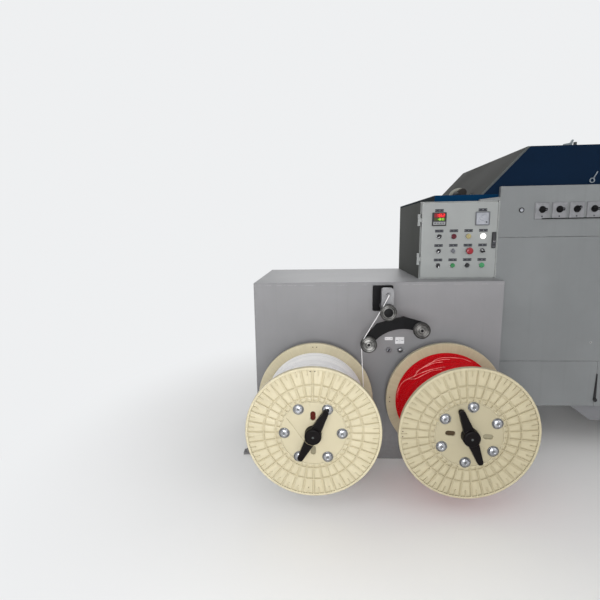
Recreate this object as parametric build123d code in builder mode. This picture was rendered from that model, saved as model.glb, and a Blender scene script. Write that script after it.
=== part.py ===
from build123d import *
import os
from math import cos, radians, sin, sqrt

# Twin-reel take-up end of a wire extrusion line, in millimetres.
# X runs to the right along the front, Y into the machine and Z up from the floor.
# The origin is on the floor, midway between the spindles, at the take-up cabinet's front face.

# Clearances between pieces
running_fit = 0.05
seat_gap = 0.3
pin_gap = 0.3
moving_gap = 5.5
joint_gap = 2.0

# Take-up cabinet
cabinet_left = -661.5
cabinet_width = 1309.0
cabinet_depth = 816.0
cabinet_height = 1000.0
lid_thickness = 14.0
cabinet_edge = 5.0
cabinet_right = cabinet_left + cabinet_width
anchor_reach = 95.0
anchor_width = 44.0
anchor_plate = 12.0
anchor_upright = 70.0
anchor_inset = 22.0
anchor_bolt = 26.0
anchor_bolt_height = 13.0

# Reels and spindles
reel_spacing = 669.0
spindle_height = 398.0
reel_gap = 90.0
reel_diameter = 600.0
reel_width = 422.0
flange_height = 24.0
flange_web = 19.5
rim_width = 11.0
middle_ring_diameter = 438.0
inner_ring_diameter = 332.0
centre_disc_diameter = 288.0
centre_recess = 3.0
rib_count = 36
rib_width = 4.6
short_rib_length = 27.0
rib_root = 2.0
bolt_boss = 54.0
bolt_seat_margin = 1.5
barrel_diameter = 300.0
barrel_wall = 9.0
winding_rear = 502.0
winding_middle = 488.0
winding_front = 496.0
bolt_circle_diameter = 254.0
bolt_head = 46.0
bolt_head_height = 11.0
bolt_dimple = 9.0
bolts_per_reel = 6
slot_distance = 80.0
slot_length = 43.0
slot_width = 23.0
shaft_diameter = 50.0
disc_diameter = 198.0
disc_thickness = 18.0
drive_pin = 18.0
drive_pin_reach = 22.0
bearing_size = 150.0
bearing_corner = 20.0
bearing_flange = 14.0
bearing_boss = 108.0
bearing_reach = 66.0
nut_hub = 73.0
nut_hub_length = 42.0
nut_span = 262.0
nut_root = 46.0
nut_tip = 25.0
nut_thickness = 18.0
nut_shaft = 36.0
nut_end_wall = 8.0
nut_wing_start = 16.0
left_turn = 0.0
right_turn = -95.2
left_nut_angle = 62.0
right_nut_angle = 111.0

# Traverse, guide arm and pulleys
traverse_x = 22.5
traverse_drop = 121.0
arm_plane = -204.0
arm_thickness = 10.0
arm_tilt = 15.6
pulley_radius_place = 183.0
pulley_half_angle = 45.7
pulley_diameter = 80.0
pulley_width = 20.0
pulley_groove = 7.0
pulley_axle = 12.0
hub_axle = 20.0
arm_hub = 28.0
arm_boss = 38.0
arm_shoulder_x = 66.0
arm_shoulder_z = -40.0
arm_arch_radius = 182.0
arm_arch_top = -94.0
traverse_bar = 36.0
traverse_rod = 16.0
rod_rise = 84.0
travel_out = 245.0
travel_in = 85.0
bar_overlap = 20.0
head_depth = 36.0
head_width = 58.0
cover_width = 106.0
cover_thickness = 12.0
cover_drop = 30.0
cover_margin = 16.0
cavity_margin = 6.0
bushing_depth = 40.0
button_offsets = (36.5, 97.5)
button_drop = 367.0
button_bezel = 30.0

# Control box
box_width = 410.0
box_setback = 136.0
box_height = 413.0
box_interior = 220.0
box_lip = 30.0
door_thickness = 18.0
hinge_standoff = 7.5
hinge_barrel = 14.0
hinge_pin = 6.0
hinge_length = 62.0
hinge_leaf_gap = 6.0
hinge_leaf = 40.0
hinge_levels = (318.0, 108.0)
column_offsets = (99.0, 177.0, 254.5, 332.0)
row_levels = (228.5, 151.0, 73.0)
device_bezel = 29.5
meter_size = 74.0
meter_height = 71.0
controller_offset = 96.0
ammeter_offset = 323.5
meter_level = 321.0
latch_inset = 21.5
latch_level = 206.0

# Oven body
oven_width = 1400.0
oven_bottom = 267.0
oven_rise = 73.0
oven_panel = 24.0
oven_depth = 1100.0
panel_gap = 2.0
upper_panel = 267.0
lower_panel = 264.0
switch_inset = 218.5
switch_pitch = 88.3
switch_count = 6
switch_drop = 130.0
switch_plate = 76.0
switch_plate_height = 86.0
switch_plate_thickness = 7.0
switch_collar = 38.0
switch_collar_height = 7.0
switch_handle_length = 34.0
switch_handle_width = 12.0
switch_handle_height = 15.0
switch_rise = 4.0
lock_diameter = 26.0
oven_latch_offset = 112.0
oven_latch_rise = 39.0
oven_latch_width = 14.0
oven_latch_tip = 4.0
oven_latch_length = 150.0
oven_latch_thickness = 7.0
oven_latch_knob = 22.0
oven_latch_knob_height = 9.0
lock_inset = 113.5
lock_drop = 125.0
sump_depth_z = 95.0
sump_top = 478.0
sump_bottom = 220.0
sump_setback = 60.0
pedestal_width = 200.0
pedestal_inset = 60.0

# Hood
hood_base_inset = 74.5
hood_base_height = 34.0
wedge_width = 104.0
wedge_high = 19.0
wedge_low = 8.0
hood_overhang = 80.0
ramp_run = 229.0
hood_rise = 241.0
ramp_thickness = 10.0
ramp_margin = 4.0
hook_offset = 239.5
hook_rise = 65.0
hook_ring = 17.0
hook_bar = 7.0
hook_rod_length = 52.0
hook_rod_angle = 60.0
bracket_inset = 168.5
bracket_length = 44.0
bracket_rise = 32.0
vent_standoff = 66.5
vent_setback = 140.0
vent_length = 100.0
vent_radius = 22.0
vent_foot_width = 36.0
vent_foot_length = 60.0
vent_foot_height = 14.0
vent_pipe_reach = 62.0
vent_pipe_radius = 9.0
vent_pipe_bend = 52.0
vent_pipe_rise = 6.0

# Worked out from the sizes above
traverse_z = cabinet_height - traverse_drop
cover_top = cabinet_height - cover_margin
button_z = cabinet_height - button_drop
oven_left = cabinet_right
oven_right = oven_left + oven_width
oven_middle = (oven_left + oven_right) / 2
oven_face = box_setback
oven_latch_x = oven_middle - oven_latch_offset
body_front = oven_face + oven_panel
box_right = cabinet_right
box_left = box_right - box_width
box_top = cabinet_height + box_height
oven_top = box_top + oven_rise
upper_seam = oven_top - upper_panel
lower_seam = oven_bottom + lower_panel
switch_z = oven_top - switch_drop
lock_z = oven_top - lock_drop
hinge_x = box_left - hinge_standoff
hinge_heights = [cabinet_height + level for level in hinge_levels]
column_x = [box_left + offset for offset in column_offsets]
row_z = [cabinet_height + level for level in row_levels]
meter_z = cabinet_height + meter_level
door_left = hinge_x + hinge_barrel / 2 + hinge_leaf_gap
door_right = box_right - moving_gap
door_face = box_setback
box_face = door_face + door_thickness + moving_gap
base_top = box_top + hood_base_height
hood_foot = oven_width / 2 + hood_overhang
hood_ridge = hood_foot - ramp_run
hood_base_left = box_left + hood_base_inset
reel_front = -(reel_gap + reel_width)
bar_end = travel_out + bushing_depth + bar_overlap
radius = reel_diameter / 2


def facing(x, y, z, turn=0):
    # sketch plane seen from the front: local x to the right, local y up, extruding towards the viewer
    return Plane(origin=(x, y, z), x_dir=(cos(radians(turn)), 0, sin(radians(turn))), z_dir=(0, -1, 0))


def facing_back(x, y, z):
    # the same plane seen from behind, extruding into the machine
    return Plane(origin=(x, y, z), x_dir=(-1, 0, 0), z_dir=(0, 1, 0))


def save(piece, name):
    piece.part.label = name
    export_step(piece.part, f"parts/{name}.step")


def block(left, right, front, back, bottom, top):
    # plain closed body between six faces
    with BuildPart() as body:
        with BuildSketch(Plane.XY.offset(bottom)):
            with Locations(((left + right) / 2, (front + back) / 2)):
                Rectangle(right - left, back - front)
        extrude(amount=top - bottom)
    return body


def take_up_cabinet():
    top = cabinet_height - lid_thickness
    cavity_height = cover_top - traverse_z + cover_drop - 2 * cavity_margin
    cavity_z = (cover_top + traverse_z - cover_drop) / 2
    with BuildPart() as cabinet:
        with BuildSketch():
            with Locations((cabinet_left + cabinet_width / 2, cabinet_depth / 2)):
                Rectangle(cabinet_width, cabinet_depth)
        extrude(amount=top)
        fillet(cabinet.edges().filter_by(Axis.Z), cabinet_edge)
        # room behind the cover plate for the traverse bar and its rod
        with BuildSketch(facing_back(traverse_x, 0, cavity_z)):
            Rectangle(cover_width - 2 * cavity_margin, cavity_height)
        extrude(amount=bar_end + travel_in + 2 * moving_gap, mode=Mode.SUBTRACT)
    return cabinet


def cabinet_lid():
    with BuildPart() as lid:
        with BuildSketch(Plane.XY.offset(cabinet_height - lid_thickness)):
            with Locations((cabinet_left + cabinet_width / 2, cabinet_depth / 2)):
                Rectangle(cabinet_width, cabinet_depth)
        extrude(amount=lid_thickness)
        fillet(lid.edges().filter_by(Axis.Z), cabinet_edge)
        chamfer(lid.faces().sort_by(Axis.Z)[-1].edges().sort_by(Axis.Y)[0], 2)
    return lid


def floor_anchors():
    # an angle at each lower corner of the cabinet, with its bolt head
    rows = (anchor_inset, cabinet_depth - anchor_inset - anchor_width)
    with BuildPart() as anchors:
        for side in (-1, 1):
            wall = cabinet_left if side < 0 else cabinet_right
            reach = wall + side * anchor_reach
            profile = (
                (wall, 0),
                (reach, 0),
                (reach, anchor_plate),
                (wall + side * anchor_plate, anchor_plate),
                (wall + side * anchor_plate, anchor_upright),
                (wall, anchor_upright),
            )
            for front in rows:
                with BuildSketch(Plane.XZ.offset(-front)):
                    with BuildLine():
                        Polyline(*profile, close=True)
                    make_face()
                extrude(amount=-anchor_width)
                bolt_x = wall + side * (anchor_reach - anchor_bolt)
                with BuildSketch(Plane.XY.offset(anchor_plate)):
                    with Locations((bolt_x, front + anchor_width / 2)):
                        RegularPolygon(anchor_bolt / 2, 6)
                extrude(amount=anchor_bolt_height)
    return anchors


def spindle_bearings():
    with BuildPart() as bearings:
        for side in (-1, 1):
            centre = (side * reel_spacing / 2, spindle_height)
            with BuildSketch(facing(centre[0], 0, centre[1])):
                RectangleRounded(bearing_size, bearing_size, bearing_corner)
            extrude(amount=bearing_flange)
            with BuildSketch(facing(centre[0], -bearing_flange, centre[1])):
                Circle(bearing_boss / 2)
            extrude(amount=bearing_reach - bearing_flange)
            with BuildSketch(facing(centre[0], 0, centre[1])):
                Circle(shaft_diameter / 2 + running_fit)
            extrude(amount=bearing_reach, mode=Mode.SUBTRACT)
    return bearings


def spindle(x):
    # shaft with drive disc, drive pin and the reduced end that the nut screws onto
    disc_back = -(reel_gap - disc_thickness)
    with BuildPart() as shaft:
        with BuildSketch(facing(x, -joint_gap, spindle_height)):
            Circle(shaft_diameter / 2)
        extrude(amount=reel_gap + reel_width - joint_gap)
        with BuildSketch(facing(x, disc_back, spindle_height)):
            Circle(disc_diameter / 2)
        extrude(amount=disc_thickness)
        with BuildSketch(facing(x, reel_front, spindle_height)):
            Circle(nut_shaft / 2)
        extrude(amount=nut_hub_length - nut_end_wall)
        turn = radians(90 + (left_turn if x < 0 else right_turn))
        with BuildSketch(facing(x, -reel_gap, spindle_height)):
            with Locations((slot_distance * cos(turn), slot_distance * sin(turn))):
                Circle(drive_pin / 2)
        extrude(amount=drive_pin_reach)
    return shaft


def pocket(inner, outer):
    # outline of one pocket between two ribs, wider at the rim
    step = radians(360 / rib_count / 2)
    low = inner * sin(step) - rib_width / 2
    high = outer * sin(step) - rib_width / 2
    Polygon((inner, -low), (outer, -high), (outer, high), (inner, low), align=None)


def reel_flange():
    # moulded flange, lying flat: smooth inner face down, three bands of pockets between ribs on top
    rim = radius - rim_width
    first_pocket = 90 + 180 / rib_count
    short_rib = short_rib_length + rib_root
    bands = [rim]
    for ring in (middle_ring_diameter, inner_ring_diameter):
        bands += [(ring + rib_width) / 2, (ring - rib_width) / 2]
    bands.append(centre_disc_diameter / 2 + rib_width)
    with BuildPart() as flange:
        with BuildSketch():
            Circle(radius)
        extrude(amount=flange_height)
        chamfer(flange.faces().filter_by(GeomType.CYLINDER).edges(), 2)
        with BuildSketch(Plane.XY.offset(flange_height)):
            with PolarLocations(0, rib_count, first_pocket, 360):
                for outer, inner in zip(bands[::2], bands[1::2]):
                    pocket(inner, outer)
            with PolarLocations(rim + rib_root - short_rib / 2, rib_count, first_pocket, 360):
                Rectangle(short_rib, rib_width, mode=Mode.SUBTRACT)
            with PolarLocations(bolt_circle_diameter / 2, bolts_per_reel):
                Circle(bolt_boss / 2, mode=Mode.SUBTRACT)
        extrude(amount=-(flange_height - flange_web), mode=Mode.SUBTRACT)
        # flat middle and the seats for the tie bolts, a little below the ribs
        with BuildSketch(Plane.XY.offset(flange_height)):
            Circle(centre_disc_diameter / 2)
            with PolarLocations(bolt_circle_diameter / 2, bolts_per_reel):
                Circle(bolt_head / 2 + bolt_seat_margin)
        extrude(amount=-centre_recess, mode=Mode.SUBTRACT)
        with BuildSketch():
            Circle(shaft_diameter / 2 + seat_gap)
            with PolarLocations(slot_distance, 2, 90):
                SlotOverall(slot_length, slot_width)
        extrude(amount=flange_height, mode=Mode.SUBTRACT)
    return flange


def placed(piece, plane, turn):
    # the same moulding, stood up on a plane and turned
    with BuildPart() as copy:
        with Locations(plane.location * Location((0, 0, 0), (0, 0, turn))):
            add(piece.part)
    return copy


def reel_barrel(x):
    length = reel_width - 2 * flange_height
    with BuildPart() as barrel:
        with BuildSketch(facing(x, -(reel_gap + flange_height), spindle_height)):
            Circle(barrel_diameter / 2)
            Circle(barrel_diameter / 2 - barrel_wall, mode=Mode.SUBTRACT)
        extrude(amount=length)
    return barrel


def winding(x):
    # the wound wire, a little fuller beside each flange
    back = -(reel_gap + flange_height)
    front = reel_front + flange_height
    core = barrel_diameter / 2 + seat_gap
    with BuildPart() as coil:
        with BuildSketch(Plane.YZ.offset(x)):
            with BuildLine():
                outer = ThreePointArc(
                    (front, spindle_height + winding_front / 2),
                    ((back + front) / 2, spindle_height + winding_middle / 2),
                    (back, spindle_height + winding_rear / 2),
                )
                Polyline(outer @ 1, (back, spindle_height + core), (front, spindle_height + core), outer @ 0)
            make_face()
        revolve(axis=Axis((x, 0, spindle_height), (0, 1, 0)))
    return coil


def tie_bolts(x, turn):
    # domed heads on the flat middle of both flanges
    front = reel_front + centre_recess
    back = -reel_gap - centre_recess
    with BuildPart() as heads:
        for plane in (facing(x, front, spindle_height), facing_back(x, back, spindle_height)):
            mirrored = -turn if plane.z_dir.Y > 0 else turn
            with BuildSketch(plane):
                with PolarLocations(bolt_circle_diameter / 2, bolts_per_reel, mirrored, 360):
                    Circle(bolt_head / 2)
            extrude(amount=bolt_head_height)
        ends = heads.faces().sort_by(Axis.Y)
        crowns = ends[:bolts_per_reel] + ends[-bolts_per_reel:]
        fillet([edge for face in crowns for edge in face.edges()], bolt_head_height - 1.5)
        for plane in (facing(x, front, spindle_height), facing_back(x, back, spindle_height)):
            mirrored = -turn if plane.z_dir.Y > 0 else turn
            with BuildSketch(plane.offset(bolt_head_height)):
                with PolarLocations(bolt_circle_diameter / 2, bolts_per_reel, mirrored, 360):
                    Circle(bolt_dimple / 2)
            extrude(amount=-3, mode=Mode.SUBTRACT)
    return heads


def wing_nut(x, angle):
    plane = facing(x, reel_front, spindle_height)
    reach = nut_span / 2 - nut_tip / 2
    along = radians(angle)
    with BuildPart() as nut:
        with BuildSketch(plane):
            Circle(nut_hub / 2)
        extrude(amount=nut_hub_length)
        fillet(nut.faces().sort_by(Axis.Y)[0].edges(), 8)
        for side in (-1, 1):
            with BuildSketch(plane.offset((nut_hub_length - nut_thickness) / 2)):
                with Locations((side * nut_wing_start * cos(along), side * nut_wing_start * sin(along))):
                    Circle(nut_root / 2)
                with Locations((side * reach * cos(along), side * reach * sin(along))):
                    Circle(nut_tip / 2)
                make_hull()
            extrude(amount=nut_thickness)
        with BuildSketch(plane):
            Circle(nut_shaft / 2 + seat_gap)
        extrude(amount=nut_hub_length - nut_end_wall + seat_gap, mode=Mode.SUBTRACT)
    return nut


def traverse_head():
    # bar and rod that slide out of the cabinet, the head across their ends and the hub axle
    head_back = arm_plane + arm_thickness / 2 + joint_gap
    with BuildPart() as head:
        with BuildSketch(facing(traverse_x, head_back + head_depth, traverse_z)):
            with Locations((0, rod_rise / 2)):
                RectangleRounded(head_width, rod_rise + head_width, 12)
        extrude(amount=head_depth)
        with BuildSketch(facing_back(traverse_x, head_back + head_depth, traverse_z)):
            Circle(traverse_bar / 2)
            with Locations((0, rod_rise)):
                Circle(traverse_rod / 2)
        extrude(amount=bar_end - (head_back + head_depth))
        with BuildSketch(facing(traverse_x, head_back, traverse_z)):
            Circle(hub_axle / 2)
        extrude(amount=arm_thickness + joint_gap + joint_gap + pulley_width + 4)
        with BuildSketch(facing(traverse_x, head_back, traverse_z)):
            Circle(hub_axle / 2 + 6)
        extrude(amount=joint_gap - pin_gap)
        with BuildSketch(facing(traverse_x, head_back, traverse_z + rod_rise)):
            Circle(traverse_rod / 2)
            Circle(3, mode=Mode.SUBTRACT)
        extrude(amount=arm_thickness + 2 * joint_gap + pulley_width / 2 + 6)
    return head


def traverse_cover():
    # black plate on the cabinet front with the two bushings behind it
    bottom = traverse_z - cover_drop
    with BuildPart() as cover:
        with BuildSketch(facing(traverse_x, 0, (bottom + cover_top) / 2)):
            RectangleRounded(cover_width, cover_top - bottom, 8)
        extrude(amount=cover_thickness)
        with BuildSketch(facing_back(traverse_x, 0, traverse_z)):
            Circle(traverse_bar / 2 + 5)
        extrude(amount=bushing_depth)
        with BuildSketch(facing_back(traverse_x, -cover_thickness, traverse_z)):
            Circle(traverse_bar / 2 + running_fit)
            with Locations((0, rod_rise)):
                Circle(traverse_rod / 2 + running_fit)
        extrude(amount=cover_thickness + bushing_depth, mode=Mode.SUBTRACT)
    return cover


def pulley_place(side):
    # centre of an arm pulley, measured from the hub
    angle = radians(-90 + arm_tilt + side * pulley_half_angle)
    return pulley_radius_place * cos(angle), pulley_radius_place * sin(angle)


def guide_arm():
    # gull-wing plate with a hub, two shoulders, an arched lower edge and a boss at each end
    boss_x = pulley_radius_place * sin(radians(pulley_half_angle))
    boss_z = -pulley_radius_place * cos(radians(pulley_half_angle))
    half = arm_thickness / 2
    axle_length = joint_gap + pulley_width
    plate = facing(traverse_x, arm_plane + half, traverse_z, arm_tilt)
    with BuildPart() as arm:
        with BuildSketch(plate):
            for side in (-1, 1):
                with BuildLine():
                    Polyline(
                        (0, arm_shoulder_z),
                        (side * arm_shoulder_x, arm_shoulder_z),
                        (side * (boss_x + 22), boss_z + 32),
                        (side * (boss_x - 26), boss_z - 28),
                        (0, boss_z - 28),
                        close=True,
                    )
                make_face()
            with Locations((0, arm_arch_top - arm_arch_radius)):
                Circle(arm_arch_radius, mode=Mode.SUBTRACT)
            with Locations((-boss_x, boss_z), (boss_x, boss_z)):
                Circle(arm_boss)
            Circle(arm_hub)
            with Locations((0, arm_shoulder_z / 2)):
                Rectangle(1.6 * arm_hub, -arm_shoulder_z)
        extrude(amount=arm_thickness)
        with BuildSketch(plate):
            Circle(hub_axle / 2 + running_fit)
        extrude(amount=arm_thickness, mode=Mode.SUBTRACT)
        with BuildSketch(plate.offset(arm_thickness)):
            with Locations((-boss_x, boss_z), (boss_x, boss_z)):
                Circle(pulley_axle / 2)
        extrude(amount=axle_length)
        with BuildSketch(plate.offset(arm_thickness)):
            with Locations((-boss_x, boss_z), (boss_x, boss_z)):
                Circle(pulley_axle / 2 + 5)
        extrude(amount=joint_gap - pin_gap)
    return arm


def pulley(x, z, bore):
    # turned pulley with a vee groove, a hollowed front face and a raised hub
    back = arm_plane - arm_thickness / 2 - joint_gap
    front = back - pulley_width
    middle = (back + front) / 2
    rim = pulley_diameter / 2
    hub = bore / 2 + 5
    with BuildPart() as wheel:
        with BuildSketch(Plane.YZ.offset(x)):
            with BuildLine():
                Polyline(
                    (back, z + bore / 2 + running_fit),
                    (back, z + rim),
                    (back - 3, z + rim),
                    (middle + 1.5, z + rim - pulley_groove),
                    (middle - 1.5, z + rim - pulley_groove),
                    (front + 3, z + rim),
                    (front + 1, z + rim),
                    (front, z + rim - 1),
                    (front, z + rim - 9),
                    (front + 3, z + rim - 12),
                    (front + 3, z + hub + 2),
                    (front, z + hub),
                    (front, z + bore / 2 + running_fit),
                    close=True,
                )
            make_face()
        revolve(axis=Axis((x, 0, z), (0, 1, 0)))
    return wheel


def jog_buttons():
    with BuildPart() as buttons:
        for offset in button_offsets:
            x = traverse_x + offset
            with BuildSketch(facing(x, 0, button_z)):
                Circle(button_bezel / 2)
            extrude(amount=6)
            with BuildSketch(facing(x, -6, button_z)):
                Circle(button_bezel / 2 - 4)
            extrude(amount=7)
        chamfer(buttons.edges().filter_by(GeomType.CIRCLE).group_by(Axis.Y)[0], 2)
    return buttons


def control_box():
    with BuildPart() as box:
        with BuildSketch(Plane.XY.offset(cabinet_height)):
            with Locations(((box_left + box_right) / 2, (box_face + cabinet_depth) / 2)):
                Rectangle(box_right - box_left, cabinet_depth - box_face)
        extrude(amount=box_height)
        fillet(box.edges().filter_by(Axis.Z).sort_by(Axis.X)[:2], 3)
        # the room behind the door
        with BuildSketch(facing_back((door_left + door_right) / 2, box_face, cabinet_height + box_height / 2)):
            Rectangle(door_right - door_left - 2 * box_lip, box_height - 2 * box_lip)
        extrude(amount=box_interior, mode=Mode.SUBTRACT)
    return box


def door_hinges():
    # leaf, two knuckles and pin at each hinge, fixed to the side of the box
    pivot_y = door_face + door_thickness / 2
    knuckle = (hinge_length - 2 * pin_gap) / 3
    with BuildPart() as hinges:
        for height in hinge_heights:
            low = height - hinge_length / 2
            for start in (low, low + 2 * knuckle + 2 * pin_gap):
                with BuildSketch(Plane.XY.offset(start)):
                    with Locations((hinge_x, pivot_y)):
                        Circle(hinge_barrel / 2)
                    with Locations(((hinge_x + box_left) / 2, pivot_y + hinge_leaf / 2)):
                        Rectangle(box_left - hinge_x, hinge_leaf)
                extrude(amount=knuckle)
            with BuildSketch(Plane.XY.offset(low)):
                with Locations((hinge_x, pivot_y)):
                    Circle(hinge_pin / 2)
            extrude(amount=hinge_length)
    return hinges


def control_door():
    pivot_y = door_face + door_thickness / 2
    knuckle = (hinge_length - 2 * pin_gap) / 3
    bottom = cabinet_height + moving_gap
    top = box_top - moving_gap
    with BuildPart() as door:
        with BuildSketch(facing(0, door_face + door_thickness, 0)):
            with Locations(((door_left + door_right) / 2, (bottom + top) / 2)):
                Rectangle(door_right - door_left, top - bottom)
        extrude(amount=door_thickness)
        fillet(door.edges().filter_by(Axis.Z).sort_by(Axis.Y)[:2], 3)
        for height in hinge_heights:
            low = height - hinge_length / 2 + knuckle + pin_gap
            with BuildSketch(Plane.XY.offset(low)):
                with Locations((hinge_x, pivot_y)):
                    Circle(hinge_barrel / 2)
                with Locations(((hinge_x + door_left) / 2, pivot_y)):
                    Rectangle(door_left - hinge_x, hinge_barrel - 4)
            extrude(amount=knuckle)
            with BuildSketch(Plane.XY.offset(low)):
                with Locations((hinge_x, pivot_y)):
                    Circle(hinge_pin / 2 + running_fit)
            extrude(amount=knuckle, mode=Mode.SUBTRACT)
    return door


def door_latch():
    latch_x = box_right - latch_inset
    latch_z = cabinet_height + latch_level
    with BuildPart() as latch:
        with BuildSketch(facing(latch_x, door_face, latch_z)):
            RectangleRounded(27, 86, 4)
        extrude(amount=9)
        with BuildSketch(facing(latch_x, door_face - 9, latch_z)):
            Circle(8)
        extrude(amount=4)
        with BuildSketch(facing(latch_x, door_face - 9, latch_z - 24)):
            RectangleRounded(17, 30, 4)
        extrude(amount=5)
    return latch


def panel_meter(offset, window_bottom):
    # square bezel with a sunk window
    x = box_left + offset
    with BuildPart() as meter:
        with BuildSketch(facing(x, door_face, meter_z)):
            RectangleRounded(meter_size, meter_height, 3)
        extrude(amount=9)
        with BuildSketch(facing(x, door_face - 9, meter_z)):
            top = meter_height / 2 - 6
            with Locations((0, (top + window_bottom) / 2)):
                Rectangle(meter_size - 12, top - window_bottom)
        extrude(amount=-3, mode=Mode.SUBTRACT)
    return meter


def door_round(places, radii, heights):
    # stepped round devices, each a stack of discs on the door
    with BuildPart() as devices:
        for column, row in places:
            face = door_face
            for size, height in zip(radii, heights):
                with BuildSketch(facing(column_x[column], face, row_z[row])):
                    Circle(size)
                extrude(amount=height)
                face -= height
    return devices


def selector_switches():
    places = ((0, 0), (0, 1), (3, 1), (0, 2))
    turns = (40, 40, -30, 90)
    with BuildPart() as selectors:
        for (column, row), turn in zip(places, turns):
            with BuildSketch(facing(column_x[column], door_face, row_z[row])):
                Circle(device_bezel / 2)
            extrude(amount=5)
            with BuildSketch(facing(column_x[column], door_face - 5, row_z[row], turn)):
                Rectangle(24, 9)
            extrude(amount=14)
    return selectors


def push_buttons():
    places = ((1, 0), (1, 1), (1, 2), (2, 2))
    buttons = door_round(places, (device_bezel / 2, device_bezel / 2 - 4), (5, 5))
    with BuildPart() as with_stop:
        add(buttons.part)
        with BuildSketch(facing(column_x[2], door_face, row_z[1])):
            Circle(device_bezel / 2)
        extrude(amount=8)
        with BuildSketch(facing(column_x[2], door_face - 8, row_z[1])):
            Circle(9)
        extrude(amount=10)
        with BuildSketch(facing(column_x[2], door_face - 18, row_z[1])):
            Circle(20)
        extrude(amount=12)
        fillet(with_stop.faces().sort_by(Axis.Y)[0].edges(), 5)
    return with_stop


def signal_lamps():
    places = ((2, 0), (3, 0), (3, 2))
    return door_round(places, (device_bezel / 2, device_bezel / 2 - 3, device_bezel / 2 - 7), (5, 7, 2))


def oven_body():
    # closed housing behind the grey front
    return block(oven_left, oven_right, body_front, body_front + oven_depth, oven_bottom, box_top)


def oven_front(bottom, top, seams=()):
    # one level of the front, cut into doors at its upright seams
    edges = (oven_left, *seams, oven_right)
    gap = panel_gap / 2
    with BuildPart() as front:
        for left, right in zip(edges, edges[1:]):
            add(block(left + gap, right - gap, oven_face, body_front, bottom + gap, top - gap).part)
    return front


def rotary_switches():
    # square plates with a round collar and a bar handle
    collar_face = oven_face - switch_plate_thickness
    handle_face = collar_face - switch_collar_height
    with BuildPart() as switches:
        for index in range(switch_count):
            x = oven_left + switch_inset + index * switch_pitch
            with BuildSketch(facing(x, oven_face, switch_z)):
                RectangleRounded(switch_plate, switch_plate_height, 3)
            extrude(amount=switch_plate_thickness)
            with BuildSketch(facing(x, collar_face, switch_z + switch_rise)):
                Circle(switch_collar / 2)
            extrude(amount=switch_collar_height)
            with BuildSketch(facing(x, handle_face, switch_z + switch_rise)):
                Rectangle(switch_handle_length, switch_handle_width)
            extrude(amount=switch_handle_height)
    return switches


def oven_locks():
    with BuildPart() as locks:
        for x in (oven_left + lock_inset, oven_right - lock_inset):
            with BuildSketch(facing(x, oven_face, lock_z)):
                Circle(lock_diameter / 2)
                Rectangle(2.5, 9, mode=Mode.SUBTRACT)
            extrude(amount=5)
        # tapered lever with a round knob, over the seam of the lower doors
        lever = facing(oven_latch_x, oven_face, oven_bottom + oven_latch_rise)
        with BuildSketch(lever):
            Circle(oven_latch_width / 2)
            with Locations((0, oven_latch_length)):
                Circle(oven_latch_tip / 2)
            make_hull()
        extrude(amount=oven_latch_thickness)
        with BuildSketch(lever.offset(oven_latch_thickness)):
            Circle(oven_latch_knob / 2)
        extrude(amount=oven_latch_knob_height)
    return locks


def oven_sump():
    # tapered tray that hangs under the oven
    top = oven_bottom
    with BuildPart() as sump:
        with BuildSketch(facing(oven_middle, body_front + oven_depth - sump_setback, top)):
            with BuildLine():
                Polyline(
                    (-sump_top / 2, 0),
                    (sump_top / 2, 0),
                    (sump_bottom / 2, -sump_depth_z),
                    (-sump_bottom / 2, -sump_depth_z),
                    close=True,
                )
            make_face()
        extrude(amount=oven_depth - sump_setback)
    return sump


def end_pedestal():
    right = oven_right - pedestal_inset
    with BuildPart() as pedestal:
        with BuildSketch():
            with Locations((right - pedestal_width / 2, body_front + oven_depth / 2)):
                RectangleRounded(pedestal_width, oven_depth - 2 * pedestal_inset, 12)
        extrude(amount=oven_bottom)
    return pedestal


def hood_base():
    return block(hood_base_left, oven_middle + hood_foot, body_front, body_front + oven_depth, box_top, base_top)


def hood():
    # raised housing with sloped ends
    back = body_front + oven_depth
    with BuildPart() as shell:
        with BuildSketch(facing(oven_middle, back, base_top)):
            with BuildLine():
                Polyline(
                    (-hood_foot, 0),
                    (hood_foot, 0),
                    (hood_ridge, hood_rise),
                    (-hood_ridge, hood_rise),
                    close=True,
                )
            make_face()
        extrude(amount=oven_depth)
    return shell


def hood_ramp(side):
    # grey sheet laid on a sloped end, just short of the front and rear edges
    run = hood_foot - hood_ridge
    thickness_x = ramp_thickness * sqrt(run**2 + hood_rise**2) / hood_rise
    with BuildPart() as ramp:
        with BuildSketch(facing(oven_middle, body_front + oven_depth - ramp_margin, base_top)):
            with BuildLine():
                Polyline(
                    (side * (hood_foot + thickness_x), 0),
                    (side * hood_foot, 0),
                    (side * hood_ridge, hood_rise),
                    (side * (hood_ridge + thickness_x), hood_rise),
                    close=True,
                )
            make_face()
        extrude(amount=oven_depth - 2 * ramp_margin)
    return ramp


def box_top_cover():
    # low wedge on the control box, against the blue base
    left = box_right - wedge_width
    with BuildPart() as cover:
        with BuildSketch(facing(0, body_front, box_top)):
            with BuildLine():
                Polyline((left, 0), (box_right, 0), (box_right, wedge_high), (left, wedge_low), close=True)
            make_face()
        extrude(amount=body_front - box_setback)
    return cover


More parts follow.
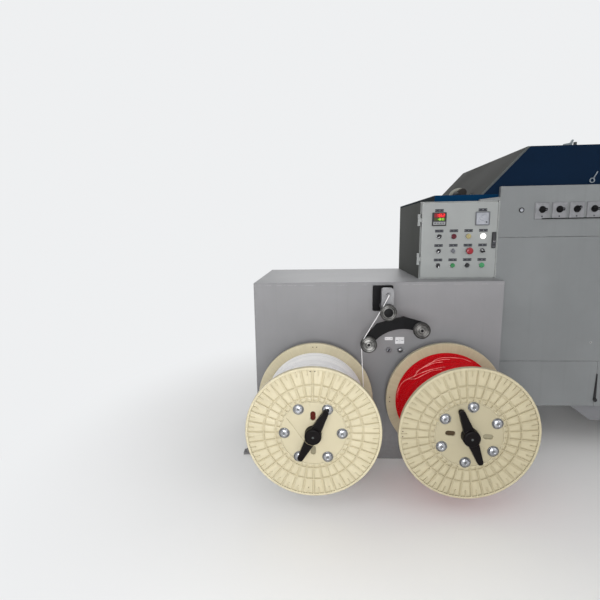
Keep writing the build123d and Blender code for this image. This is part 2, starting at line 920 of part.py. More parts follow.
def vent_motor():
    # small motor lying on the blue base with a bent air pipe beside it
    x = oven_middle - hood_foot - vent_standoff
    z = base_top + vent_radius + 2
    front = body_front + vent_setback
    back = front + vent_length
    with BuildPart() as vent:
        with BuildSketch(facing(x, back, z)):
            Circle(vent_radius)
        extrude(amount=vent_length)
        with BuildSketch(Plane.XY.offset(base_top)):
            with Locations((x, (front + back) / 2)):
                Rectangle(vent_foot_width, vent_foot_length)
        extrude(amount=vent_foot_height)
        pipe_x = x - vent_pipe_reach
        pipe_y = front + vent_length * 0.3
        with BuildLine(Plane.XZ.offset(-pipe_y)):
            rise = Line((pipe_x, base_top), (pipe_x, base_top + vent_pipe_rise))
            RadiusArc(rise @ 1, (x, z + vent_radius - 6), vent_pipe_bend)
        with BuildSketch(Plane(origin=(pipe_x, pipe_y, base_top), z_dir=(0, 0, 1))):
            Circle(vent_pipe_radius)
        sweep(transition=Transition.ROUND)
    return vent


def hood_fittings():
    # hook on the hood's front face and small bracket on its ridge
    hook_x = oven_middle - hook_offset
    hook_z = base_top + hook_rise
    ridge_x = oven_middle - hood_ridge + bracket_inset
    ridge_z = base_top + hood_rise
    end_x = ridge_x + bracket_length
    with BuildPart() as fittings:
        with BuildSketch(facing(hook_x, body_front, hook_z)):
            Circle(hook_ring)
            Circle(hook_ring - hook_bar, mode=Mode.SUBTRACT)
        extrude(amount=hook_bar)
        with BuildSketch(facing(hook_x, body_front, hook_z)):
            with PolarLocations(hook_ring - hook_bar / 2, 1, hook_rod_angle):
                with Locations((hook_rod_length / 2, 0)):
                    Rectangle(hook_rod_length, hook_bar)
        extrude(amount=hook_bar)
        with BuildSketch(facing(0, body_front + 70, ridge_z)):
            with BuildLine():
                Polyline(
                    (ridge_x, 0),
                    (end_x, 0),
                    (end_x, bracket_rise),
                    (end_x - 8, bracket_rise),
                    (end_x - 8, 12),
                    (ridge_x, 5),
                    close=True,
                )
            make_face()
        extrude(amount=40)
    return fittings


os.makedirs("parts", exist_ok=True)

save(take_up_cabinet(), "take_up_cabinet")
save(cabinet_lid(), "cabinet_lid")
save(floor_anchors(), "floor_anchors")
save(spindle_bearings(), "spindle_bearings")
save(traverse_cover(), "traverse_cover")
save(jog_buttons(), "jog_buttons")
save(control_box(), "control_box")
save(door_hinges(), "door_hinges")
save(oven_body(), "oven_body")
save(oven_front(upper_seam, oven_top), "oven_front_upper")
save(oven_front(lower_seam, upper_seam), "oven_front_middle")
save(oven_front(oven_bottom, lower_seam, (oven_latch_x,)), "oven_front_lower")
save(rotary_switches(), "rotary_switches")
save(oven_locks(), "oven_locks")
save(oven_sump(), "oven_sump")
save(end_pedestal(), "end_pedestal")
save(hood_base(), "hood_base")
save(hood(), "hood")
save(hood_ramp(-1), "hood_ramp_left")
save(hood_ramp(1), "hood_ramp_right")
save(box_top_cover(), "box_top_cover")
save(vent_motor(), "vent_motor")
save(hood_fittings(), "hood_fittings")

save(control_door(), "control_door")
save(door_latch(), "door_latch")
save(panel_meter(controller_offset, -meter_height / 2 + 20), "temperature_controller")
save(panel_meter(ammeter_offset, -meter_height / 2 + 6), "ammeter")
save(selector_switches(), "selector_switches")
save(push_buttons(), "push_buttons")
save(signal_lamps(), "signal_lamps")

flange = reel_flange()
for side_name, side_sign, reel_turn, nut_angle in (
    ("left", -1, left_turn, left_nut_angle),
    ("right", 1, right_turn, right_nut_angle),
):
    reel_x = side_sign * reel_spacing / 2
    inner_back = -(reel_gap + flange_height)
    inner_front = reel_front + flange_height
    save(spindle(reel_x), f"spindle_{side_name}")
    save(placed(flange, facing_back(reel_x, inner_back, spindle_height), -reel_turn), f"rear_flange_{side_name}")
    save(placed(flange, facing(reel_x, inner_front, spindle_height), reel_turn), f"front_flange_{side_name}")
    save(reel_barrel(reel_x), f"barrel_{side_name}")
    save(winding(reel_x), f"winding_{side_name}")
    save(tie_bolts(reel_x, reel_turn), f"tie_bolts_{side_name}")
    save(wing_nut(reel_x, nut_angle), f"wing_nut_{side_name}")

save(traverse_head(), "traverse_head")
save(guide_arm(), "guide_arm")
save(pulley(traverse_x, traverse_z, hub_axle), "hub_pulley")
for side_name, side_sign in (("left", -1), ("right", 1)):
    offset_x, offset_z = pulley_place(side_sign)
    save(pulley(traverse_x + offset_x, traverse_z + offset_z, pulley_axle), f"arm_pulley_{side_name}")
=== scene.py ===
import random
from math import cos, pi, radians, sin

import bpy
from mathutils import Matrix, Vector


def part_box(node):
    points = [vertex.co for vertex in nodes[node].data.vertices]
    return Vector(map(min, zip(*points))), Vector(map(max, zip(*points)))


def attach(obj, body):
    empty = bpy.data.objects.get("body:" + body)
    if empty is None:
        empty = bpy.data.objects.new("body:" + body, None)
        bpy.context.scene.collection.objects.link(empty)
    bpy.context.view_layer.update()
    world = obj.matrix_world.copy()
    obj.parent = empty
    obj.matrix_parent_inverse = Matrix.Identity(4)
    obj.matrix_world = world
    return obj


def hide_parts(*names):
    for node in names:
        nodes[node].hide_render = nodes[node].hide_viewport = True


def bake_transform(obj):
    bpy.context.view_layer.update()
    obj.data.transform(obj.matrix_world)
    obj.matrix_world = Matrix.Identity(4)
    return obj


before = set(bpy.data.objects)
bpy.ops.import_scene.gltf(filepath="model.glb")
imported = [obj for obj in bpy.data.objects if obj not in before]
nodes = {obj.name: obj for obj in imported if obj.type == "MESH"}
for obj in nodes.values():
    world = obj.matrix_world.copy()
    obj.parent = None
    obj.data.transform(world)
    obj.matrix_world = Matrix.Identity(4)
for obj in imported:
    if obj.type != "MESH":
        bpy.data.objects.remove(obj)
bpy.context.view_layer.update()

finishes = {}


def tone(red, green, blue):
    # a colour as it is read off a photograph, made linear
    parts = []
    for value in (red, green, blue):
        value = value / 255
        parts.append(value / 12.92 if value <= 0.04045 else ((value + 0.055) / 1.055) ** 2.4)
    return (*parts, 1.0)


def shade(colour, amount):
    return (*[min(1.0, part * amount) for part in colour[:3]], 1.0)


# materials
class Tap:
    # one node output, ready for sums
    def __init__(self, finish, socket):
        self.finish = finish
        self.socket = socket

    def __add__(self, other):
        return self.finish.math("ADD", self, other)

    def __sub__(self, other):
        return self.finish.math("SUBTRACT", self, other)

    def __rsub__(self, other):
        return self.finish.math("SUBTRACT", other, self)

    def __mul__(self, other):
        return self.finish.math("MULTIPLY", self, other)

    __radd__ = __add__
    __rmul__ = __mul__


class Finish:
    # one material, or the world, found later by its name in finishes
    def __init__(self, name, owners=bpy.data.materials):
        self.owner = finishes[name] = owners.new(name)
        self.owner.use_nodes = True
        self.tree = self.owner.node_tree
        self.tree.nodes.clear()

    def node(self, kind, settings, values, output=0):
        made = self.tree.nodes.new(kind)
        for key, value in settings.items():
            setattr(made, key, value)
        pairs = values.items() if isinstance(values, dict) else enumerate(values)
        for key, value in pairs:
            if isinstance(value, Tap):
                self.tree.links.new(value.socket, made.inputs[key])
            else:
                made.inputs[key].default_value = value
        return Tap(self, made.outputs[output]) if made.outputs else None

    def math(self, operation, *values):
        return self.node("ShaderNodeMath", {"operation": operation}, values)

    def place(self):
        return self.node("ShaderNodeTexCoord", {}, {}, "Object")

    def split(self, point):
        return [self.node("ShaderNodeSeparateXYZ", {}, [point], axis) for axis in range(3)]

    def vector(self, operation, first, second, output=0):
        return self.node("ShaderNodeVectorMath", {"operation": operation}, [first, second], output)

    def around(self, point, look):
        # place, distance and direction seen from the piece's own axle
        offset = self.vector("SUBTRACT", point, (look["x"], 0, look["z"]))
        flat = self.vector("MULTIPLY", offset, (1, 0, 1))
        return flat, self.vector("LENGTH", flat, flat, "Value"), self.vector("NORMALIZE", flat, flat)

    def noise(self, point, scale, detail=3.0, roughness=0.55):
        values = {"Vector": point, "Scale": scale, "Detail": detail, "Roughness": roughness}
        return self.node("ShaderNodeTexNoise", {}, values)

    def mix(self, factor, first, second):
        return self.node("ShaderNodeMix", {"data_type": "RGBA"}, {0: factor, 6: first, 7: second}, 2)

    def step(self, value, low, high):
        values = {"Value": value, "From Min": low, "From Max": high}
        return self.node("ShaderNodeMapRange", {"interpolation_type": "SMOOTHSTEP"}, values)

    def mottled(self, value, low, high, colour, darker, lighter):
        return self.mix(self.step(value, low, high), shade(colour, darker), shade(colour, lighter))

    def softEdge(self, radius):
        return self.node("ShaderNodeBevel", {"samples": 4}, {"Radius": radius})

    def flatNormal(self):
        return self.node("ShaderNodeNewGeometry", {}, {}, "Normal")

    def worn(self, radius, low=0.02, high=0.25):
        # 1 on outer edges, where paint rubs off
        level = self.vector("DOT_PRODUCT", self.softEdge(radius), self.flatNormal(), "Value")
        return self.step(1 - level, low, high)

    def dusted(self, point, base, look):
        # runs of dust down a panel
        runs = self.noise(self.vector("MULTIPLY", point, (34, 34, 1.3)), 1, 3)
        return self.mix(self.step(runs, 0.55, 0.8) * look["dust"], base, shade(look["colour"], 0.7))

    def rubbed(self, point, base, look):
        edge = self.worn(0.004) * self.step(self.noise(point, 24, 3), 0.42, 0.6)
        return self.mix(edge * look["wear"], base, look["under"])

    def bump(self, height, distance, strength, normal=None):
        values = {"Strength": strength, "Distance": distance, "Height": height}
        if normal:
            values["Normal"] = normal
        return self.node("ShaderNodeBump", {}, values)

    def surface(self, base, rough, normal, shine=0.5, more=None):
        values = {"Base Color": base, "Roughness": rough, "Normal": normal, "Specular IOR Level": shine}
        shader = self.node("ShaderNodeBsdfPrincipled", {}, {**values, **(more or {})})
        self.node("ShaderNodeOutputMaterial", {}, {"Surface": shader})


def sheetPaint(name, look):
    # satin paint on sheet steel: faint clouds, runs of dust, grime near the floor, rubbed edges
    finish = Finish(name)
    point = finish.place()
    colour = look["colour"]
    cloud = finish.noise(point, 2.6, 4)
    marks = finish.noise(point, 46, 5, 0.7)
    base = finish.dusted(point, finish.mottled(cloud, 0.35, 0.68, colour, 0.95, 1.05), look)
    low = finish.step(finish.split(point)[2] + marks * 0.2, 0.3, 0.08)
    base = finish.mix(low * 0.4, base, tone(58, 54, 47))
    base = finish.mix(finish.step(marks, 0.7, 0.8) * 0.35, base, shade(colour, 0.66))
    if look["end"]:
        # faces towards one side in another colour: painted light and shade by side
        way, sideLightColour = look["end"]
        turned = finish.vector("DOT_PRODUCT", finish.flatNormal(), way, "Value")
        base = finish.mix(finish.step(turned, 0.75, 0.85), base, tone(*sideLightColour))
    rough = look["rough"] + (cloud - 0.5) * 0.2 + low * 0.2
    wave = finish.bump(finish.noise(point, 1.9, 1), 0.02, 0.12, finish.softEdge(0.0015))
    normal = finish.bump(finish.noise(point, 620, 2), 0.0003, 0.22, wave)
    finish.surface(finish.rubbed(point, base, look), rough, normal, look["shine"])


def boxCoat(name, look):
    # the control box: sides in the door's grey painted dark as shade, its narrow front rim in the door's
    # paint
    finish = Finish(name)
    point = finish.place()
    cloud = finish.noise(point, 2.6, 4)
    base = finish.dusted(point, finish.mottled(cloud, 0.35, 0.68, look["colour"], 0.94, 1.06), look)
    rim = finish.step(finish.split(point)[1], look["rimAt"] + 0.0015, look["rimAt"] + 0.0005)
    base = finish.rubbed(point, finish.mix(rim, base, look["rim"]), look)
    normal = finish.bump(finish.noise(point, 620, 2), 0.0003, 0.22, finish.softEdge(0.0015))
    finish.surface(base, look["rough"] + (cloud - 0.5) * 0.2, normal, look["shine"])


def mouldedCream(name, look):
    # cream reel plastic: pads between ribs drawn darker as shade and dust, radial flow marks, painted shade
    # in the corners, two wire holes
    finish = Finish(name)
    point = finish.place()
    flat, reach, ray = finish.around(point, look)
    flow = finish.noise(finish.vector("MULTIPLY", ray, (26, 26, 26)), 1, 4)
    cloud = finish.noise(point, 9, 4)
    speck = finish.noise(point, 210, 3, 0.7)
    closeness = finish.node("ShaderNodeAmbientOcclusion", {"samples": 6}, {"Distance": 0.016}, "AO")
    # distance from the nearest rib, short rib and ring
    aside, _, height = finish.split(flat)
    depth = finish.split(point)[1]
    sector = 2 * pi / ribs["count"]
    turn = (finish.math("ARCTAN2", height, aside) - radians(look["turn"])) * (1 / sector)
    ribGap = finish.math("PINGPONG", turn, 0.5) * reach * sector
    shortGap = finish.math("PINGPONG", turn + 0.5, 0.5) * reach * sector
    disc, rim = ribs["disc"], ribs["rim"]
    outward = finish.step(reach, disc, disc + 0.003) * finish.step(reach, rim, rim - 0.003)
    ribbed = outward * finish.math(
        "MAXIMUM", finish.step(depth, look["front"] + 0.002, look["front"]),
        finish.step(depth, look["back"] - 0.002, look["back"]))
    line = finish.step(ribGap, *ribs["line"])
    pad = finish.step(ribGap, *ribs["pad"])
    for ring in ribs["rings"]:
        ringGap = finish.math("ABSOLUTE", reach - ring)
        line = finish.math("MAXIMUM", line, finish.step(ringGap, *ribs["line"]))
        pad = pad * finish.step(ringGap, *ribs["pad"])
    short = finish.step(shortGap, *ribs["line"]) * finish.step(reach, ribs["short"], ribs["short"] + 0.006)
    line = finish.math("MAXIMUM", line, short * 0.7) * ribbed
    colour = tone(*look["colour"])
    base = finish.mottled(flow, 0.3, 0.7, colour, 0.95, 1.05)
    base = finish.mix(finish.step(cloud, 0.4, 0.75) * 0.3, base, tone(*look["aged"]))
    base = finish.mix(finish.step(reach, disc + 0.002, disc - 0.002), base, shade(colour, look["disc"]))
    # the ribs and rings drawn darker, partly painted shade on their walls and partly dust on them
    base = finish.mix(line * look["depth"], base, tone(*look["rib"]))
    # painted shade: darker where ambient occlusion finds corners and creases
    creaseShade = finish.step(closeness, 0.95, 0.3)
    base = finish.mix(creaseShade * look["dust"], base, tone(*look["creaseShade"]))
    # specks of dirt in the colour of the painted crease shade
    base = finish.mix(finish.step(speck, 0.68, 0.76) * 0.4, base, tone(*look["creaseShade"]))
    for holeX, holeZ in look["holes"]:
        gap = finish.vector("DISTANCE", flat, (holeX, 0, holeZ), "Value")
        base = finish.mix(finish.step(gap, 0.0034, 0.0022), base, tone(58, 46, 34))
    rough = 0.3 + (cloud - 0.5) * 0.2 + creaseShade * 0.2 + reach * 0.1
    swell = (pad + finish.noise(point, 40, 2) * 0.35) * ribbed
    pillow = finish.bump(swell, 0.0022, 0.8, finish.softEdge(0.0016))
    finish.surface(base, rough, finish.bump(speck, 0.0004, 0.25, pillow), 0.45)


def turnedSteel(name, look):
    # lathe rings round the piece's own axle, and a painted sheen: dark and light steel that change with the
    # angle round it
    finish = Finish(name)
    point = finish.place()
    _, reach, ray = finish.around(point, look)
    lathe = {"W": reach, "Scale": 1500, "Detail": 2}
    rings = finish.node("ShaderNodeTexNoise", {"noise_dimensions": "1D"}, lathe)
    paintedSheen = finish.noise(finish.vector("MULTIPLY", ray, (0.9, 0.9, 0.9)), 1, 3)
    smear = finish.noise(point, 60, 4)
    base = finish.mix(finish.step(paintedSheen + smear * 0.2, 0.42, 0.72), look["dark"], look["light"])
    base = finish.mix(finish.step(rings, 0.35, 0.65) * 0.3, base, shade(look["light"], 1.2))
    # two painted highlights, wedges across the face
    turn, shine = look["wedge"]
    way = (cos(radians(turn)), 0, sin(radians(turn)))
    along = finish.math("ABSOLUTE", finish.vector("DOT_PRODUCT", ray, way, "Value"))
    wedge = finish.step(along + (rings + smear) * 0.08, 0.72, 1.08)
    base = finish.mix(wedge * shine, base, look["bright"])
    for inner, outer, bandColour, strength in look["bands"]:
        begun = finish.step(reach, inner - 0.0006, inner + 0.0006)
        ended = finish.step(reach, outer + 0.0006, outer - 0.0006)
        base = finish.mix(begun * ended * strength, base, bandColour)
    normal = finish.bump(rings, 0.0002, 0.3, finish.softEdge(0.0008))
    finish.surface(base, 0.24 + rings * 0.14 + smear * 0.14, normal, more={"Metallic": 1.0})


def plainMetal(name, colour, cloud, grain, rough, metal):
    finish = Finish(name)
    point = finish.place()
    scratch = finish.noise(finish.vector("MULTIPLY", point, grain), 1, 3)
    base = finish.mottled(finish.noise(point, cloud, 4), 0.35, 0.7, colour, 0.8, 1.15)
    normal = finish.bump(scratch, 0.0002, 0.25, finish.softEdge(0.0008))
    finish.surface(base, rough + (scratch - 0.5) * 0.25, normal, more={"Metallic": metal})


def blackCoat(name, colour, rough, grain):
    # dark coating, grey where handled and along edges
    finish = Finish(name)
    point = finish.place()
    rub = finish.noise(point, 30, 4)
    base = finish.mix(finish.step(rub, 0.4, 0.75), colour, shade(colour, 1.7))
    edge = finish.worn(0.003, 0.01, 0.2) * finish.step(rub, 0.38, 0.6)
    base = finish.mix(edge * 0.4, base, tone(100, 96, 92))
    normal = finish.bump(finish.noise(point, 420, 3, 0.7), 0.0003, grain, finish.softEdge(0.0014))
    finish.surface(base, rough + (rub - 0.5) * 0.25, normal, 0.1)


def mouldedPlastic(name, colour, rough, shine=0.4, glow=0, coat=0):
    finish = Finish(name)
    point = finish.place()
    cloud = finish.noise(point, 35, 3)
    base = finish.mottled(cloud, 0.35, 0.7, tone(*colour), 0.9, 1.1)
    normal = finish.bump(finish.noise(point, 900, 2), 0.0002, 0.15, finish.softEdge(0.0006))
    more = {"Emission Color": base, "Emission Strength": glow} if glow else {}
    if coat:
        more.update({"Coat Weight": coat, "Coat Roughness": 0.08})
    finish.surface(base, rough + (cloud - 0.5) * 0.16, normal, shine, more)


def wireSkin(name, dark, light, sheenColour, veil, rough, shine):
    # glossy insulation, each turn a little lighter or darker, with lighter patches of painted sheen
    finish = Finish(name)
    point = finish.place()
    turns = finish.noise(finish.vector("MULTIPLY", point, (2, 230, 2)), 1, 3)
    base = finish.mix(finish.step(turns, 0.3, 0.7), tone(*dark), tone(*light))
    # painted sheen in lighter patches
    base = finish.mix(finish.step(finish.noise(point, 14, 3), 0.5, 0.8) * veil, base, tone(*sheenColour))
    normal = finish.bump(finish.noise(point, 500, 2), 0.0002, 0.12)
    finish.surface(base, rough + (turns - 0.5) * 0.2, normal, shine)


def ventCoat(name, look):
    # brown motor body with a pale bent pipe
    finish = Finish(name)
    point = finish.place()
    side, _, height = finish.split(point)
    reach = finish.around(point, look)[1]
    beside = finish.math("MAXIMUM", finish.step(side, look["x"] - 0.024, look["x"] - 0.026),
                         finish.step(height, look["z"] - 0.006, look["z"] - 0.004))
    smear = finish.noise(point, 60, 4)
    base = finish.mottled(smear, 0.35, 0.7, look["motor"], 0.8, 1.3)
    base = finish.mix(finish.step(reach, 0.0231, 0.0236) * beside, base, look["pipe"])
    normal = finish.bump(smear, 0.0004, 0.3, finish.softEdge(0.001))
    finish.surface(base, 0.5 + (smear - 0.5) * 0.3, normal, 0.3)


paints = {
    # colour, roughness, dust, wear, colour under the paint, shine
    "panelPaint": ((128, 128, 130), 0.44, 0.18, 0.5, (182, 182, 180), 0.35),
    "doorPaint": ((144, 147, 146), 0.42, 0.1, 0.4, (205, 205, 202), 0.35),
    "ovenPaint": ((119, 122, 123), 0.42, 0.14, 0.45, (180, 180, 178), 0.3),
    # the control box's grey paint made dark: painted shade on its sides
    "boxShadedPaint": ((54, 56, 52), 0.5, 0.16, 0.5, (130, 130, 124), 0.06),
    "standPaint": ((72, 72, 72), 0.5, 0.2, 0.5, (160, 160, 158), 0.2),
    "sumpPaint": ((116, 117, 120), 0.5, 0.2, 0.4, (170, 170, 168), 0.2),
    "hoodPaint": ((2, 24, 46), 0.45, 0.1, 0.3, (60, 78, 100), 0.07),
    "basePaint": ((4, 44, 74), 0.55, 0.1, 0.3, (70, 100, 128), 0.02),
    # the ramps' paint darkened as painted shade for the light on their upward faces
    "rampPaint": ((38, 39, 36), 0.65, 0.2, 0.4, (130, 128, 118), 0.03),
}
# the hood base's left end painted dark teal as shade; the ramps' front faces kept a lighter grey
paintedSideLight = {"basePaint": ((-1.0, 0.0, 0.0), (10, 26, 32)), "rampPaint": ((0.0, -1.0, 0.0), (84, 88, 88))}
for name, (colour, rough, dust, wear, under, shine) in paints.items():
    look = {"colour": tone(*colour), "rough": rough, "dust": dust, "wear": wear, "under": tone(*under),
            "shine": shine}
    if name == "boxShadedPaint":
        rim = shade(tone(*paints["doorPaint"][0]), 0.86)
        boxCoat(name, {**look, "rimAt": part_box("control_box")[0].y, "rim": rim})
    else:
        sheetPaint(name, {**look, "end": paintedSideLight.get(name)})

metals = {
    # colour, cloud size, grain along each axis, roughness, metallic
    "groundSteel": ((0.17, 0.17, 0.175, 1), 8, (900, 30, 900), 0.5, 0.8),
    "boltSteel": ((0.44, 0.45, 0.48, 1), 40, (160, 160, 160), 0.2, 1.0),
    "ringSteel": ((0.2, 0.205, 0.215, 1), 60, (160, 160, 160), 0.34, 1.0),
    "bezelSteel": ((0.4, 0.405, 0.42, 1), 60, (200, 200, 200), 0.3, 1.0),
    "fittingSteel": (tone(112, 119, 122), 30, (200, 200, 200), 0.5, 0.2),
    "hookSteel": (tone(128, 136, 144), 30, (200, 200, 200), 0.5, 0.2),
    "hingeSteel": ((0.5, 0.5, 0.48, 1), 20, (400, 400, 60), 0.4, 0.8),
    "bearingIron": ((0.045, 0.05, 0.05, 1), 30, (220, 220, 220), 0.6, 0.0),
}
for name, look in metals.items():
    plainMetal(name, *look)
blackCoat("nutBlack", tone(9, 6, 7), 0.46, 0.3)
blackCoat("armBlack", tone(9, 9, 11), 0.42, 0.2)

plastics = {
    # colour, roughness, then shine, glow and clear coat where they differ from the usual
    "deviceBlack": ((26, 26, 28), 0.4), "deviceWhite": ((228, 230, 232), 0.4),
    "deviceGrey": ((96, 98, 104), 0.42), "plateGrey": ((138, 140, 140), 0.45),
    "dialWhite": ((152, 155, 162), 0.4, 0.4, 0, 0.2),
    "knobBlack": ((10, 10, 12), 0.5, 0.1), "switchGrey": ((127, 128, 131), 0.45),
    "latchBlack": ((46, 46, 49), 0.45, 0.3), "labelDark": ((56, 57, 62), 0.5, 0.2),
    "windowRed": ((110, 12, 22), 0.3, 0.4, 0.3), "windowGreen": ((58, 62, 16), 0.3, 0.4, 0.2),
    "slotRust": ((76, 28, 20), 0.7, 0.1), "slotBrown": ((70, 58, 42), 0.7, 0.1),
    "slotDull": ((140, 134, 112), 0.6, 0.1),
    "labelMark": ((150, 152, 158), 0.5), "labelPale": ((216, 216, 218), 0.5),
    "capDarkRed": ((84, 10, 28), 0.3, 0.3, 0, 0.3), "capStopRed": ((136, 20, 34), 0.34, 0.3, 0, 0.4),
    "capGreen": ((38, 120, 66), 0.32, 0.4, 0, 0.4), "lensAmber": ((160, 150, 104), 0.22, 0.4, 0, 0.8),
    # the lit lens glows as a lamp; its metal ring gets the same glow as painted glare
    "lensLit": ((250, 250, 246), 0.22, 0.4, 0.9, 0.6), "lensGreen": ((60, 140, 90), 0.22, 0.4, 0, 0.8),
    "digitRed": ((255, 40, 40), 0.4, 0.4, 1.2), "digitGreen": ((150, 220, 60), 0.4, 0.4, 0.9),
}
for name, look in plastics.items():
    mouldedPlastic(name, *look)

wires = {
    # dark, light, painted sheen colour and how much of it, roughness, shine
    "whiteWire": ((214, 214, 216), (244, 243, 242), (250, 249, 247), 0.35, 0.34, 0.4),
    # the pale thread in grey-tan: painted shade from its shadow on the disc
    "threadShaded": ((138, 126, 100), (168, 156, 128), (190, 180, 156), 0.2, 0.5, 0.2),
    "redWire": ((164, 0, 10), (214, 0, 22), (228, 28, 50), 0.3, 0.34, 0.05),
    # the loose red strands in pale pink: a painted highlight on red wire
    "looseRedSheen": ((222, 90, 92), (244, 160, 152), (250, 206, 196), 0.4, 0.26, 0.5),
}
for name, look in wires.items():
    wireSkin(name, *look)
ventCoat("ventPaint", {
    "x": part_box("vent_motor")[1].x - 0.022, "z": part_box("hood_base")[1].z + 0.024,
    "motor": tone(24, 19, 15), "pipe": tone(134, 134, 124)})

reelAt = {"left": (-0.3345, 0.398), "right": (0.3345, 0.398)}
ribs = {"count": 36, "rings": (0.219, 0.166), "disc": 0.144, "rim": 0.2895, "short": 0.262, "deep": 0.0052,
        "line": (0.0038, 0.002), "pad": (0.002, 0.0085)}
cream = {
    "left": {
        "colour": (188, 179, 151), "aged": (212, 204, 178), "rib": (172, 160, 128), "creaseShade": (164, 154, 122),
        "depth": 0.46, "dust": 0.15, "turn": 0.0, "disc": 0.96, "holes": ((-0.01, 0.281), (0.01, 0.281))},
    # the right reel's tones, its disc included, are darker copies of the left's: painted shade on the same
    # cream plastic
    "right": {
        "colour": (171, 162, 135), "aged": (190, 181, 153), "rib": (150, 139, 110), "creaseShade": (142, 132, 104),
        "depth": 0.42, "dust": 0.15, "turn": -95.2, "disc": 0.88,
        "holes": ((-0.281, -0.012), (-0.281, 0.012))},
}
for side, (x, z) in reelAt.items():
    mouldedCream(side + "ReelPlastic", {
        **cream[side], "x": x, "z": z, "front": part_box("front_flange_" + side)[0].y + ribs["deep"],
        "back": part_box("rear_flange_" + side)[1].y - ribs["deep"]})

hubSteel = {
    "dark": (0.022, 0.0215, 0.021, 1), "light": (0.115, 0.1135, 0.11, 1), "bright": (0.46, 0.455, 0.44, 1),
    "bands": ((0.0, 0.0074, (0.006, 0.006, 0.006, 1), 0.97), (0.0078, 0.0125, (0.3, 0.295, 0.285, 1), 0.7),
              (0.013, 0.0155, (0.03, 0.03, 0.03, 1), 0.6), (0.0265, 0.029, (0.03, 0.03, 0.03, 1), 0.6),
              (0.033, 0.041, (0.02, 0.0195, 0.019, 1), 0.8)),
}
# angle and strength of each pulley's painted highlight wedges
pulleyHighlights = {"hub_pulley": (130, 0.4), "arm_pulley_left": (112, 0.66), "arm_pulley_right": (142, 0.4)}
for node, wedge in pulleyHighlights.items():
    low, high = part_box(node)
    axle = (low + high) / 2
    turnedSteel(node + "Steel", {**hubSteel, "x": axle.x, "z": axle.z, "wedge": wedge})

nodeFinish = {
    "panelPaint": ["take_up_cabinet", "cabinet_lid", "floor_anchors"],
    "doorPaint": ["control_door", "door_hinges"], "boxShadedPaint": ["control_box"],
    "ovenPaint": ["oven_body", "oven_front_upper", "oven_front_middle", "oven_front_lower", "box_top_cover"],
    "standPaint": ["end_pedestal"], "sumpPaint": ["oven_sump"], "hoodPaint": ["hood"],
    "basePaint": ["hood_base"], "rampPaint": ["hood_ramp_left", "hood_ramp_right"],
    "ventPaint": ["vent_motor"],
    "groundSteel": ["traverse_head", "spindle_left", "spindle_right"],
    "boltSteel": ["jog_buttons", "signal_lamps", "tie_bolts_left", "tie_bolts_right"],
    "fittingSteel": ["hood_fittings"], "hingeSteel": ["oven_locks"], "bearingIron": ["spindle_bearings"],
    "armBlack": ["traverse_cover", "guide_arm"], "nutBlack": ["wing_nut_left", "wing_nut_right"],
    "deviceBlack": ["door_latch", "temperature_controller", "selector_switches", "push_buttons"],
    "deviceGrey": ["ammeter"], "plateGrey": ["rotary_switches"],
    "whiteWire": ["winding_left"], "redWire": ["winding_right"],
    **{node + "Steel": [node] for node in pulleyHighlights},
    **{side + "ReelPlastic": [part + side for part in ("rear_flange_", "front_flange_", "barrel_")]
       for side in reelAt},
}
count = 0
for name, members in nodeFinish.items():
    for node in members:
        slots = nodes[node].data.materials
        slots.clear()
        slots.append(finishes[name])
        count += 1
print("finishes on", count, "solids")


# camera, floor and light
def linked(name, data):
    # a new object in the scene
    made = bpy.data.objects.new(name, data)
    bpy.context.scene.collection.objects.link(made)
    return made


view = {"at": (-0.2745, -2.284, 1.27), "yaw": -3.51, "pitch": -10.11, "roll": -0.92, "focus": 434.0,
        "rise": 8.5, "side": 600, "sensor": 36, "clipEnd": 200}
yaw, pitch, roll = [radians(view[key]) for key in ("yaw", "pitch", "roll")]
ahead = Vector((sin(yaw), cos(yaw), 0)) * cos(pitch)
ahead.z = sin(pitch)
across = Vector((cos(yaw), -sin(yaw), 0))
above = across.cross(ahead)
right = across * cos(roll) + above * sin(roll)
top = above * cos(roll) - across * sin(roll)
camera = linked("camera", bpy.data.cameras.new("camera"))
camera.matrix_world = Matrix.Translation(view["at"]) @ Matrix((right, top, -ahead)).transposed().to_4x4()
camera.data.sensor_fit = "HORIZONTAL"
camera.data.sensor_width = view["sensor"]
camera.data.lens = view["focus"] / view["side"] * view["sensor"]
camera.data.shift_y = view["rise"] / view["side"]
camera.data.clip_end = view["clipEnd"]
bpy.context.scene.camera = camera
bpy.context.scene.view_settings.view_transform = "Standard"

room = {"floor": (0.82, 0.82, 0.81, 1), "half": 30, "backdrop": (0.86, 0.87, 0.88, 1),
        "middle": (0.6, 0.4, 0.0), "fade": (1.3, 2.8), "fill": (0.54, 0.54, 0.5454, 1)}
half = room["half"]
corners = [(-half, -half, 0), (half, -half, 0), (half, half, 0), (-half, half, 0)]
floorMesh = bpy.data.meshes.new("floor")
floorMesh.from_pydata(corners, [], [(0, 1, 2, 3)])
floor = linked("floor", floorMesh)
paving = Finish("floorPale")
point = paving.place()
base = paving.mix(paving.noise(point, 1.5, 5), shade(room["floor"], 0.97), shade(room["floor"], 1.03))
matt = paving.node("ShaderNodeBsdfPrincipled", {}, {"Base Color": base, "Roughness": 0.6})
pale = paving.node("ShaderNodeEmission", {}, {"Color": room["backdrop"], "Strength": 1.0})
away = paving.vector("LENGTH", paving.vector("SUBTRACT", point, room["middle"]), (0, 0, 0), "Value")
fade = paving.step(away, *room["fade"]) * paving.node("ShaderNodeLightPath", {}, {}, "Is Camera Ray")
blend = paving.node("ShaderNodeMixShader", {}, [fade, matt, pale])
paving.node("ShaderNodeOutputMaterial", {}, {"Surface": blend})
floorMesh.materials.append(paving.owner)

